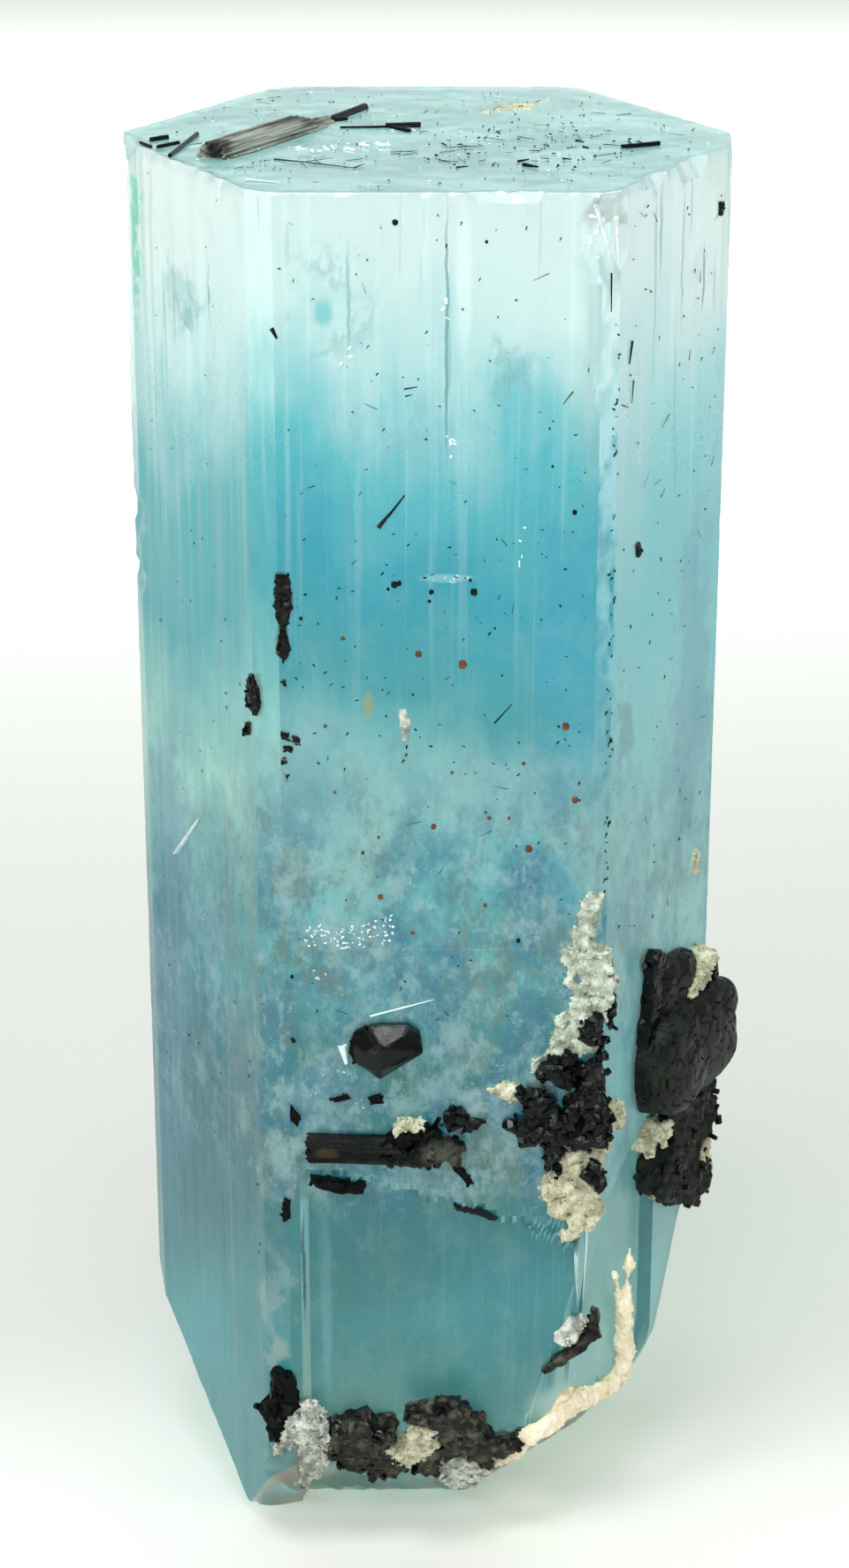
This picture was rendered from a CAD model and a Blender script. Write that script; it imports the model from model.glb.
"""An aquamarine crystal with schorl and feldspar grown on it: the finish of every surface.

Sizes are in millimetres where a name says so, and are turned to metres when a mesh is made. The
crystal stands on its broken foot at z = 0, its front face looks along -Y.
"""

import math

import bmesh
import bpy
import numpy as np
from mathutils import Matrix, Vector, noise
from mathutils.geometry import delaunay_2d_cdt


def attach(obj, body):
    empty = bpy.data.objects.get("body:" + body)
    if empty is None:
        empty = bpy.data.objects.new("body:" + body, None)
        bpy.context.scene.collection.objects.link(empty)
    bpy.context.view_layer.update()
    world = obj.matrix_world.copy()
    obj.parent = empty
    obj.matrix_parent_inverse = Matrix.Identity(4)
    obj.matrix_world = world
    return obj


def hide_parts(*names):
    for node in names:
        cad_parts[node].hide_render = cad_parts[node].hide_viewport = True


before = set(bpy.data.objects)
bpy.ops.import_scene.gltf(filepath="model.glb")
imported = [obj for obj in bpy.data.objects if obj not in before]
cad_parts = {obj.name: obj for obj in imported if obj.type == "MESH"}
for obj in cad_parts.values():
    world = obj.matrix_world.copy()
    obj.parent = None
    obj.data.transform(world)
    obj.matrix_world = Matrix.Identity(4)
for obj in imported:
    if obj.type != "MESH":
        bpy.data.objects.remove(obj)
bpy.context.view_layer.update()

# The aquamarine prism. One grown beryl crystal with six sides and narrow strip faces on its corners,
# clear at the tip, blue and cloudy below, its faces stepped and lined along their length by growth.
# It has a ledge low on the front, where the outer layer ends, and it is broken off at the foot.

MM = 0.001
TOP_MM = 48.5
PRISM_FACES = (  # angle of the outward normal in degrees, distance from the axis in mm
    (-90, 8.60),
    (-30, 9.32),
    (30, 9.12),
    (90, 9.05),
    (150, 9.07),
    (210, 8.81),
)
# What the strip faces take off each corner, along the face before it and the face after it, in mm.
CORNER_CUTS = ((0.35, 0.45), (1.40, 1.10), (0.50, 0.60), (0.70, 0.50), (0.75, 1.45), (0.60, 0.56))
COLUMN_SPACING_MM = 0.135
ROWS = 168
SIDE_ROWS_END_MM = TOP_MM - 0.6  # the even rows of points on the sides end here
EDGE_ROWS_MM = (0.32, 0.14, 0.05)  # extra rows just under the top face, where its edge is rounded
TOP_RIPPLES = ((2.6, 5, 0.05), (0.7, 9, 0.018))  # size in mm, seed, height in mm
TOP_SINK_MM = 0.03  # the top face lies this much lower than its edge, its ripples no higher
TOP_SPACING_MM = 0.24
FOOT_SPACING_MM = 0.26
BANDS = {0: 9, 1: 16, 5: 30}  # how many growth bands the front, right and left faces have
OTHER_BANDS = 18
BAND_DEPTH_MM = {0: 0.004, 1: 0.030, 5: 0.040}  # the deepest band on each of them
OTHER_BAND_DEPTH_MM = 0.004
STRIP_NUMBER = 0.5  # the strip face right of the front face
STRIP_PITS_MM = 0.16
OTHER_PITS_MM = 0.04
LEDGE_DEPTH_MM = 0.50
LEDGE_LEFT_MM = (-4.6, -4.35)  # the recess begins between these places on the front face
STRIP_LEDGE_MM = 13.1
FRONT_LEDGE = ((-4.2, 15.0), (-2.0, 14.5), (1.0, 13.6), (3.2, 12.9), (4.7, 12.3), (6.2, 13.1))
RIGHT_LEDGE = ((-0.6, 13.0), (1.0, 13.5), (2.4, 14.6), (4.2, 15.6))
TONGUE_EDGE_MM = -4.4  # left of this the foot runs on down as a tongue
FRACTURES = (  # point on the broken surface in mm, outward normal, x range, highest z
    ((-9.8, 0.0, 6.0), (-0.86, -0.02, -0.51), (-99, 99), 99),
    ((0.0, -8.3, 4.6), (0.0, -0.84, -0.54), (TONGUE_EDGE_MM, 99), 99),
    ((-5.2, -6.3, 0.1), (0.10, -0.80, -0.60), (-99, TONGUE_EDGE_MM), 99),
    ((6.75, -6.95, 10.1), (0.69, -0.69, -0.20), (-99, 99), 99),
    ((4.54, -7.53, 4.49), (0.564, -0.522, -0.640), (-99, 99), 99),
    ((8.00, -0.5, 5.0), (0.975, 0.0, -0.22), (-99, 99), 11.1),
    ((7.00, -3.0, 2.92), (0.658, -0.429, -0.620), (-99, 99), 99),
    ((8.0, 4.0, 3.0), (0.70, 0.45, -0.55), (-99, 99), 99),
    ((0.0, 9.05, 4.0), (0.15, 0.75, -0.65), (-99, 99), 99),
)
CHIPS = (  # centre, half widths and depth of what has flaked off, in mm
    ((5.60, -8.45, 47.1), (0.80, 0.80, 1.40), 0.34),
    ((-9.90, -0.40, 35.7), (0.60, 1.60, 0.80), 0.22),
    ((-9.90, -0.40, 33.6), (0.60, 1.60, 0.60), 0.18),
    ((8.50, -3.90, 48.6), (0.90, 1.10, 0.60), 0.30),
    ((7.20, -6.20, 48.6), (0.60, 0.80, 0.45), 0.26),
    ((-9.70, -0.60, 48.6), (0.60, 0.90, 0.50), 0.30),
    ((2.60, -8.60, 48.6), (1.30, 0.60, 0.35), 0.16),
)


def prism_outline():
    """The prism from above, going round from the front face: points, inward directions, the number
    of the face each lies on (a strip face has the number of the face before it plus a half) and
    the distance along that face, in mm."""
    corners = []
    for i, (angle, distance) in enumerate(PRISM_FACES):
        next_angle, next_distance = PRISM_FACES[(i + 1) % 6]
        a, b = math.radians(angle), math.radians(next_angle)
        lines = Matrix(((math.cos(a), math.sin(a)), (math.cos(b), math.sin(b))))
        corners.append(lines.inverted() @ Vector((distance, next_distance)))
    stretches = []
    for i in range(6):
        along = (corners[i] - corners[i - 1]).normalized()
        start = corners[i - 1] + along * CORNER_CUTS[i - 1][1]
        end = corners[i] - along * CORNER_CUTS[i][0]
        next_along = (corners[(i + 1) % 6] - corners[i]).normalized()
        stretches.append((i, start, end))
        stretches.append((i + 0.5, end, corners[i] + next_along * CORNER_CUTS[i][1]))
    rows = []
    for face, start, end in stretches:
        length = (end - start).length
        along = (end - start) / length
        steps = max(3, round(length / COLUMN_SPACING_MM))
        centre = (start + end) / 2
        for k in range(steps):
            point = start + along * length * k / steps
            rows.append((*point, -along.y, along.x, face, (point - centre).dot(along)))
    table = np.array(rows)
    return table[:, 0:2], table[:, 2:4], table[:, 4], table[:, 5]


def value_noise(points, scale_mm, seed=0.0):
    """Smooth noise from -1 to 1 at each row of points, which are in mm."""
    shifted = points / scale_mm + seed * 7.31
    return np.array([noise.noise(Vector(p)) for p in shifted])


def smooth_step(values, low, high):
    """Nought below low, one above high and a smooth rise between them."""
    t = np.clip((values - low) / (high - low), 0, 1)
    return t * t * (3 - 2 * t)


def foot_height(x, y):
    """The height of the broken foot over each place, and the outward normal of the break there."""
    height = np.zeros(len(x))
    normal = np.tile((0.0, 0.0, -1.0), (len(x), 1))
    for point, outward, (x_low, x_high), z_high in FRACTURES:
        outward = np.array(outward) / np.linalg.norm(outward)
        rise = (outward[0] * (x - point[0]) + outward[1] * (y - point[1])) / -outward[2]
        this = np.minimum(point[2] + rise, z_high)
        higher = (this > height) & (x >= x_low) & (x < x_high)
        height = np.where(higher, this, height)
        normal[higher] = outward
    return height, normal


def growth_depth(face, along, z, seed):
    """How far in each point of a side lies, in mm: the growth bands of its face, the recess below
    the ledge, and the pits of the etched strip right of the front face."""
    depth = np.zeros(len(z))
    rng = np.random.default_rng(seed)
    for number in np.unique(face):
        on = face == number
        if number % 1:
            pits = value_noise(np.column_stack((along[on] * 2, z[on] * 0.9, z[on] * 0)), 0.55, number)
            etched = STRIP_PITS_MM if number == STRIP_NUMBER else OTHER_PITS_MM
            depth[on] += etched * np.maximum(pits, 0) * smooth_step(z[on], 8, 12)
            continue
        deepest = BAND_DEPTH_MM.get(int(number), OTHER_BAND_DEPTH_MM)
        for _ in range(BANDS.get(int(number), OTHER_BANDS)):
            middle = rng.uniform(-5.2, 5.2)
            half_width = rng.uniform(0.06, 1.1) ** 1.4
            low = rng.uniform(-20, 40)
            high = low + rng.uniform(8, 50)
            wander = 0.09 * np.sin(z[on] * rng.uniform(0.15, 0.5) + rng.uniform(0, 6))
            across = half_width - np.abs(along[on] - middle + wander)
            inside = smooth_step(across, -0.05, 0.05)
            lengthwise = smooth_step(z[on], low, low + 0.5) * smooth_step(-z[on], -high, 0.5 - high)
            depth[on] += rng.uniform(0.25, 1) * deepest * inside * lengthwise
    front = face == 0
    lip = np.interp(along[front], *np.array(FRONT_LEDGE).T)
    lip += 0.12 * np.sin(along[front] * 5.1) + 0.07 * np.sin(along[front] * 13.7)
    recess = smooth_step(lip - z[front], -0.05, 0.22) * smooth_step(along[front], *LEDGE_LEFT_MM)
    depth[front] += LEDGE_DEPTH_MM * recess
    strip = face == STRIP_NUMBER
    depth[strip] += LEDGE_DEPTH_MM * smooth_step(STRIP_LEDGE_MM - z[strip], -0.05, 0.22)
    right = face == 1
    lip = np.interp(along[right] + 3.9, *np.array(RIGHT_LEDGE).T)
    recess = smooth_step(lip - z[right], -0.05, 0.3) * smooth_step(-along[right], -0.3, 0.1)
    depth[right] += LEDGE_DEPTH_MM * recess
    return depth


def chip_depth(points):
    """How far in each point lies where a flake has come off, with the ripples of such a break."""
    depth = np.zeros(len(points))
    for centre, half_widths, deepest in CHIPS:
        reach = np.linalg.norm((points - centre) / half_widths, axis=1)
        near = reach < 1.3
        uneven = reach[near] + 0.22 * value_noise(points[near], 0.45, 6)
        bowl = np.sqrt(np.clip(1 - uneven**2, 0, 1)) * (1 + 0.10 * np.sin(uneven * 19))
        depth[near] = np.maximum(depth[near], deepest * bowl)
    return depth


def crystal_mesh():
    """The prism: columns of points up its sides, and a field of points over each end."""
    outline, inward, face, along = prism_outline()
    columns = len(outline)
    bottom, _ = foot_height(*(outline + inward * 0.02).T)
    low_rows = np.linspace(0, 1, ROWS)
    heights = bottom[None, :] + (SIDE_ROWS_END_MM - bottom[None, :]) * low_rows[:, None]
    edge_rows = [np.full((1, columns), TOP_MM - down) for down in (*EDGE_ROWS_MM, 0)]
    heights = np.concatenate([heights, *edge_rows])
    rows = len(heights)
    z = heights.ravel()
    depth = growth_depth(np.tile(face, rows), np.tile(along, rows), z, 7)
    nicks = np.maximum(value_noise(np.column_stack((outline, outline[:, :1] * 0)), 0.55, 3), 0) * 0.5
    rounding = np.maximum(0, z - (TOP_MM - EDGE_ROWS_MM[0])) / EDGE_ROWS_MM[0]
    depth += rounding**2 * np.tile(0.05 + nicks * 0.35, rows)
    depth += chip_depth(np.column_stack((np.tile(outline, (rows, 1)), z)))
    sides = np.tile(outline, (rows, 1)) + np.tile(inward, (rows, 1)) * depth[:, None]
    points = np.column_stack((sides, z))
    at = np.arange(rows * columns).reshape(rows, columns)
    right = np.roll(at, -1, axis=1)
    quads = np.stack((at[:-1], right[:-1], right[1:], at[1:]), axis=-1).reshape(-1, 4).tolist()

    top_points, top_faces = end_cap(outline, inward, depth[at[-1]], at[-1], len(points),
                                    TOP_SPACING_MM)
    ripple = sum(value_noise(top_points * (1, 1, 0), size, seed) * height
                 for size, seed, height in TOP_RIPPLES)
    top_points[:, 2] = TOP_MM - TOP_SINK_MM + np.minimum(ripple, TOP_SINK_MM)
    points = np.concatenate((points, top_points))

    foot_points, foot_faces = end_cap(outline, inward, depth[at[0]], at[0], len(points),
                                      FOOT_SPACING_MM)
    height, normal = foot_height(foot_points[:, 0], foot_points[:, 1])
    foot_points[:, 2] = height
    hackle = value_noise(foot_points, 2.4, 2) * 0.30 + np.abs(value_noise(foot_points, 1.0, 4)) * 0.22
    foot_points -= normal * ((0.12 + hackle) * smooth_step(height, 0, 0.6))[:, None]
    foot_points[:, 2] = np.maximum(foot_points[:, 2], 0)
    points = np.concatenate((points, foot_points))
    flipped = [face[::-1] for face in foot_faces]

    mesh = bpy.data.meshes.new("aquamarine_prism")
    mesh.from_pydata((points * MM).tolist(), [], quads + top_faces + flipped)
    return mesh


def end_cap(outline, inward, depth, rim_numbers, first_number, spacing):
    """New points in a field inside the outline, and the triangles that join them to its rim. Near
    the rim the field moves in with it, by the rim's depth."""
    low, high = outline.min(axis=0), outline.max(axis=0)
    rng = np.random.default_rng(3)
    grid = np.mgrid[low[0]:high[0]:spacing, low[1]:high[1]:spacing].reshape(2, -1).T
    grid = grid + rng.uniform(-0.3, 0.3, grid.shape) * spacing
    clear = -((grid[:, None, :] - outline[None]) * inward[None]).sum(axis=2)
    field = grid[(clear < -0.12).all(axis=1)]
    flat = [Vector(p) for p in np.concatenate((outline, field))]
    edges = [(i, (i + 1) % len(outline)) for i in range(len(outline))]
    _, _, faces, sources, _, _ = delaunay_2d_cdt(flat, edges, [], 1, 1e-7)
    numbers = np.concatenate((rim_numbers, first_number + np.arange(len(field))))
    faces = [[int(numbers[sources[i][0]]) for i in face] for face in faces]
    distance = np.linalg.norm(field[:, None, :] - outline[None], axis=2)
    nearest = distance.argmin(axis=1)
    pull = depth[nearest] * np.clip(1 - distance.min(axis=1) / 2.5, 0, 1)
    field = field + inward[nearest] * pull[:, None]
    return np.column_stack((field, np.zeros(len(field)))), faces


def add_piece(name, mesh, material, slot_name, *nodes):
    """A finished piece on the specimen's one body, in place of the CAD nodes named, if any."""
    obj = bpy.data.objects.new(name, mesh)
    bpy.context.scene.collection.objects.link(obj)
    mesh.materials.clear()
    mesh.materials.append(material)
    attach(obj, "root")
    if nodes:
        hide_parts(*nodes)


def shade(mesh, sharp_degrees=None):
    """Smooth shading, with the edges steeper than the angle left sharp."""
    mesh.shade_smooth()
    if sharp_degrees is not None:
        mesh.set_sharp_from_angle(angle=math.radians(sharp_degrees))


def wire(tree, kind, inputs=None, output=0, **settings):
    """Adds a node, feeds it values or other nodes' outputs, and gives back one of its outputs."""
    node = tree.nodes.new(kind)
    for name, value in settings.items():
        setattr(node, name, value)
    for name, value in (inputs or {}).items():
        if isinstance(value, bpy.types.NodeSocket):
            tree.links.new(value, node.inputs[name])
        else:
            node.inputs[name].default_value = value
    return node.outputs[output]


def srgb(red, green, blue):
    """A colour as the eye reads it, 0 to 255, as the renderer's linear values."""
    shares = [channel / 255 for channel in (red, green, blue)]
    linear = [s / 12.92 if s <= 0.04045 else ((s + 0.055) / 1.055) ** 2.4 for s in shares]
    return (*linear, 1.0)


def ramp(tree, factor, stops):
    """A colour ramp through (position, colour) stops."""
    node = tree.nodes.new("ShaderNodeValToRGB")
    tree.links.new(factor, node.inputs["Fac"])
    elements = node.color_ramp.elements
    while len(elements) < len(stops):
        elements.new(0.5)
    for element, (position, colour) in zip(elements, stops):
        element.position = position
        element.color = colour
    return node.outputs["Color"]


def new_material(name):
    """An empty material: its node tree, its Principled shader and its object coordinates."""
    material = bpy.data.materials.new(name)
    material.use_nodes = True
    tree = material.node_tree
    shader = tree.nodes["Principled BSDF"]
    place = wire(tree, "ShaderNodeTexCoord", output="Object")
    return material, tree, shader, place


def stretched_noise(tree, place, scale, detail=3.0, roughness=0.5):
    """Noise with its own scale along each axis, in features per metre."""
    placed = wire(tree, "ShaderNodeMapping", {"Vector": place, "Scale": scale})
    inputs = {"Vector": placed, "Scale": 1.0, "Detail": detail, "Roughness": roughness}
    return wire(tree, "ShaderNodeTexNoise", inputs, "Fac")


def math_node(tree, operation, a, b=0.0):
    return wire(tree, "ShaderNodeMath", {0: a, 1: b}, operation=operation)


def times(tree, a, b):
    return math_node(tree, "MULTIPLY", a, b)


def vector_node(tree, operation, a, b):
    return wire(tree, "ShaderNodeVectorMath", {0: a, 1: b}, operation=operation)


def mapped(tree, value, low, high, to_low=0.0, to_high=1.0):
    """The value's range from low to high, smoothly drawn out to another range."""
    inputs = {"Value": value, "From Min": low, "From Max": high, "To Min": to_low, "To Max": to_high}
    return wire(tree, "ShaderNodeMapRange", inputs, interpolation_type="SMOOTHSTEP")


def mix_colour(tree, factor, a, b):
    """Colour a where the factor is nought, b where it is one."""
    return wire(tree, "ShaderNodeMix", {0: factor, 6: a, 7: b}, 2, data_type="RGBA")


# Heights in mm of the crystal's colour zones, and their colours: the front face, the faces left of
# it, the faces right of it.
FRONT_ZONES = (
    (2.0, srgb(107, 151, 141)),
    (8.0, srgb(44, 115, 117)),
    (13.0, srgb(22, 127, 138)),
    (14.6, srgb(38, 131, 133)),
    (20.0, srgb(36, 122, 118)),
    (25.0, srgb(106, 204, 209)),
    (29.0, srgb(115, 188, 189)),
    (32.0, srgb(47, 153, 164)),
    (36.5, srgb(24, 158, 180)),
    (40.0, srgb(92, 188, 197)),
    (43.5, srgb(208, 224, 222)),
    (48.0, srgb(219, 225, 224)),
)
LEFT_ZONES = (
    (2.0, srgb(75, 160, 172)),
    (9.0, srgb(58, 128, 136)),
    (17.0, srgb(31, 118, 132)),
    (23.0, srgb(89, 181, 187)),
    (28.0, srgb(203, 249, 230)),
    (34.0, srgb(91, 180, 189)),
    (38.5, srgb(112, 195, 196)),
    (43.0, srgb(242, 253, 250)),
    (48.0, srgb(246, 249, 246)),
)
RIGHT_ZONES = (
    (2.0, srgb(178, 159, 148)),
    (9.0, srgb(150, 191, 188)),
    (17.0, srgb(187, 249, 255)),
    (22.0, srgb(197, 247, 245)),
    (28.0, srgb(177, 229, 230)),
    (34.0, srgb(160, 228, 237)),
    (38.5, srgb(196, 243, 242)),
    (43.0, srgb(255, 255, 255)),
    (48.0, srgb(255, 255, 255)),
)
# Patches of another colour in the surface: centre and half widths in mm, colour, strength.
PATCHES = (
    ((-3.6, -8.6, 28.2), (4.8, 2.0, 3.9), srgb(158, 202, 200), 0.85),  # milky wedge, its broad end
    ((1.6, -8.6, 28.8), (4.2, 2.0, 2.0), srgb(158, 202, 200), 0.80),  # its thin end
    ((5.6, -8.6, 27.2), (1.3, 2.0, 2.2), srgb(164, 200, 198), 0.70),
    ((4.8, -8.6, 33.6), (1.5, 1.0, 5.6), srgb(46, 156, 190), 0.75),  # clear blue at the right corner
    ((4.0, -8.6, 24.9), (1.7, 2.0, 2.0), srgb(60, 142, 176), 0.60),  # blue under the wedge
    ((-0.5, -8.6, 21.9), (2.4, 2.0, 1.2), srgb(66, 150, 174), 0.55),
    ((4.2, -8.6, 23.4), (1.3, 2.0, 0.9), srgb(128, 146, 138), 0.60),  # brownish clouds
    ((1.5, -8.6, 21.9), (0.7, 2.0, 1.2), srgb(132, 148, 136), 0.50),
    ((1.2, -8.6, 19.4), (1.0, 2.0, 1.3), srgb(134, 146, 134), 0.60),
    ((-3.2, -8.6, 17.9), (1.7, 2.0, 1.6), srgb(176, 208, 212), 0.50),  # pale cloud over the rods
    ((2.3, -8.6, 17.6), (1.6, 2.0, 0.62), srgb(206, 218, 220), 0.92),  # milky patch over the wedge
    ((-0.6, -8.6, 14.9), (3.0, 1.0, 0.5), srgb(158, 196, 200), 0.70),  # pale lip of the ledge
    ((3.4, -8.6, 14.2), (1.6, 1.0, 1.0), srgb(150, 190, 194), 0.60),
    ((5.9, -8.6, 14.3), (0.9, 1.4, 1.6), srgb(166, 200, 200), 0.60),
    ((-5.2, -8.3, 14.8), (1.1, 1.2, 1.3), srgb(160, 182, 182), 0.70),  # grey cloud, left corner
    ((-6.2, -6.9, 17.7), (0.8, 1.4, 3.2), srgb(134, 152, 150), 0.60),  # brownish streak, left face
    ((-5.3, -8.4, 10.0), (0.6, 1.0, 2.8), srgb(150, 170, 168), 0.60),
    ((-5.4, -8.3, 7.4), (0.7, 1.0, 0.7), srgb(156, 160, 150), 0.80),
    ((-7.3, -5.0, 20.6), (0.6, 1.0, 3.6), srgb(160, 204, 212), 0.60),  # pale streak, left face
    ((-8.8, -2.4, 24.0), (1.4, 2.4, 6.0), srgb(104, 156, 186), 0.60),  # lavender left edge
    ((-9.2, -1.6, 15.0), (1.1, 2.0, 8.0), srgb(92, 152, 186), 0.60),
    ((6.6, -7.3, 30.5), (0.7, 1.0, 2.2), srgb(124, 146, 160), 0.60),  # purple-grey smear
    ((9.0, -3.0, 31.0), (1.2, 2.2, 7.0), srgb(134, 172, 196), 0.55),  # lavender right edge
    ((7.4, -6.0, 23.8), (0.6, 1.2, 4.2), srgb(182, 214, 210), 0.55),  # pale streak, right face
    ((-9.7, -0.8, 45.4), (0.45, 1.4, 3.6), srgb(128, 224, 190), 0.90),  # mint edge
    ((-3.0, -8.6, 45.5), (1.5, 1.0, 0.9), srgb(176, 208, 206), 0.55),
    ((-7.8, -4.0, 44.3), (0.9, 1.6, 1.0), srgb(158, 196, 196), 0.60),  # grey veils, left face
    ((2.6, -8.6, 42.9), (0.8, 1.0, 1.1), srgb(132, 178, 184), 0.55),
)
FINE_PATCHES = (  # narrower ones, with cleaner outlines
    ((-3.4, -8.1, 9.6), (0.22, 1.0, 4.4), srgb(100, 164, 174), 0.60),  # pale strip in the recess
    ((-4.15, -8.6, 11.2), (0.07, 1.0, 2.6), srgb(24, 62, 66), 0.85),  # dark line at its left
    ((-3.1, -8.6, 44.8), (0.34, 1.0, 0.50), srgb(96, 186, 196), 0.80),  # teal spot in a veil
    ((-2.35, -8.6, 45.3), (0.07, 1.0, 1.9), srgb(128, 172, 176), 0.80),  # curved crack
    ((0.68, -8.6, 44.0), (0.06, 1.0, 4.6), srgb(92, 140, 146), 0.95),  # growth seam
    ((1.20, -8.6, 45.6), (0.30, 1.0, 2.8), srgb(246, 252, 250), 0.60),
    ((-6.8, -5.8, 44.6), (0.06, 0.3, 1.2), srgb(84, 124, 130), 0.90),  # crack in the left face
    ((-4.2, -8.9, 46.9), (0.10, 0.6, 1.0), srgb(150, 180, 182), 0.70),
    ((5.55, -8.40, 47.1), (0.60, 0.9, 1.15), srgb(252, 255, 254), 0.85),  # chipped top corner
    ((5.0, -8.3, 5.3), (1.6, 1.4, 0.9), srgb(206, 220, 204), 0.75),  # milky by the fringe
    ((6.6, -6.9, 6.6), (0.7, 1.2, 1.3), srgb(200, 216, 204), 0.60),
    ((7.4, -5.8, 46.8), (0.06, 0.3, 1.8), srgb(136, 168, 166), 0.80),  # cracks in the right face
    ((8.2, -4.4, 45.6), (0.05, 0.3, 2.6), srgb(140, 170, 168), 0.80),
    ((9.0, -3.0, 44.6), (0.05, 0.3, 1.2), srgb(70, 90, 92), 0.80),
    ((-1.79, -8.6, 31.95), (0.20, 1.0, 0.55), srgb(168, 158, 96), 0.85),  # ochre flake
    ((-2.5, -8.6, 23.9), (1.7, 1.0, 0.60), srgb(196, 224, 226), 0.60),  # behind the sparkles
    ((2.2, -8.6, 17.75), (1.35, 1.0, 0.46), srgb(216, 226, 228), 0.85),  # over the wedge
    ((-0.4, -8.6, 23.3), (4.6, 1.0, 0.05), srgb(178, 214, 218), 0.80),  # healed edge across the front
    ((0.7, -8.6, 36.2), (0.95, 1.0, 0.16), srgb(170, 216, 224), 0.70),  # pale streak across
)
WISPS = (  # where thin winding veils lie in the crystal: centre and half widths, mask, strength
    ((-7.9, -3.9, 44.2), (1.3, 2.2, 1.5), (1.0, 1.0, 1.0, 1.0), 0.85),
    ((-2.9, -8.6, 45.0), (1.6, 1.0, 2.2), (1.0, 1.0, 1.0, 1.0), 0.90),
    ((2.6, -8.6, 42.9), (1.2, 1.0, 1.4), (1.0, 1.0, 1.0, 1.0), 0.80),
    ((-1.0, -8.6, 41.2), (3.0, 1.0, 1.2), (1.0, 1.0, 1.0, 1.0), 0.40),
    ((0.4, -8.6, 22.5), (4.8, 1.0, 3.6), (1.0, 1.0, 1.0, 1.0), 0.45),
)
BERYL_TRANSMISSION = 0.62
BERYL_IOR = 1.577
ABSORPTION_COLOUR = (0.50, 0.91, 0.95, 1.0)
ABSORPTION_DENSITY = 30.0  # per metre
SHADOW_LIGHT = 0.82  # the share of light that the crystal's shadow lets through
TOP_FACE_COLOUR = srgb(205, 250, 245)


def patch_group():
    """Shader group: a soft-edged oval mask at a place, one at its middle and nought at its rim."""
    tree = bpy.data.node_groups.new("patch", "ShaderNodeTree")
    for label in ("Place", "Centre", "Half Widths"):
        tree.interface.new_socket(label, in_out="INPUT", socket_type="NodeSocketVector")
    tree.interface.new_socket("Strength", in_out="INPUT", socket_type="NodeSocketFloat")
    tree.interface.new_socket("Mask", in_out="OUTPUT", socket_type="NodeSocketFloat")
    given = tree.nodes.new("NodeGroupInput").outputs
    offset = vector_node(tree, "SUBTRACT", given["Place"], given["Centre"])
    shares = vector_node(tree, "DIVIDE", offset, given["Half Widths"])
    reach = wire(tree, "ShaderNodeVectorMath", {0: shares}, "Value", operation="LENGTH")
    mask = times(tree, mapped(tree, reach, 1.15, 0.45), given["Strength"])
    tree.links.new(mask, tree.nodes.new("NodeGroupOutput").inputs["Mask"])
    return tree


def patched(tree, colour, place, patches, group):
    """The colour with soft-edged patches of other colours laid over it, one after the other."""
    for centre, half_widths, patch_colour, strength in patches:
        inputs = {"Place": place, "Centre": Vector(centre) * MM,
                  "Half Widths": Vector(half_widths) * MM, "Strength": strength}
        mask = wire(tree, "ShaderNodeGroup", inputs, "Mask", node_tree=group)
        colour = mix_colour(tree, mask, colour, patch_colour)
    return colour


def ragged_place(tree, place, scale, reach_mm):
    """The place moved about by noise, so that what is drawn with it gets ragged outlines."""
    inputs = {"Vector": place, "Scale": scale, "Detail": 4.0, "Roughness": 0.65}
    wander = wire(tree, "ShaderNodeTexNoise", inputs, "Color")
    wander = vector_node(tree, "SUBTRACT", wander, (0.5, 0.5, 0.5))
    wander = wire(tree, "ShaderNodeVectorMath", {0: wander, "Scale": reach_mm * MM}, operation="SCALE")
    return vector_node(tree, "ADD", place, wander)


def zone_colour(tree, place, height):
    """The colour of the zones, by height and by the face that a place lies on, and how far the
    surface there faces the front."""
    drift = stretched_noise(tree, place, (160, 160, 90), 4.0, 0.6)
    fibres = stretched_noise(tree, place, (1900, 1900, 40), 5.0, 0.75)
    combed = times(tree, mapped(tree, fibres, 0.2, 0.8, -0.015, 0.015),
                   mapped(tree, height, 12 * MM, 30 * MM, 0.2, 1.0))
    shift = math_node(tree, "ADD", mapped(tree, drift, 0.25, 0.75, -0.050, 0.050), combed)
    share = math_node(tree, "ADD", times(tree, height, 1 / (TOP_MM * MM)), shift)
    front, left, right = (ramp(tree, share, [(z / TOP_MM, colour) for z, colour in zones])
                          for zones in (FRONT_ZONES, LEFT_ZONES, RIGHT_ZONES))
    normal = wire(tree, "ShaderNodeTexCoord", output="Normal")
    facing = wire(tree, "ShaderNodeSeparateXYZ", {0: normal}).node.outputs
    sides = mix_colour(tree, mapped(tree, facing["X"], -0.2, 0.2), left, right)
    colour = mix_colour(tree, mapped(tree, facing["Y"], -0.80, -0.97), sides, front)
    colour = mix_colour(tree, mapped(tree, facing["Z"], 0.5, 0.9), colour, TOP_FACE_COLOUR)
    return colour, mapped(tree, facing["Y"], -0.55, -0.95, 0.55, 1.0)


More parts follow.
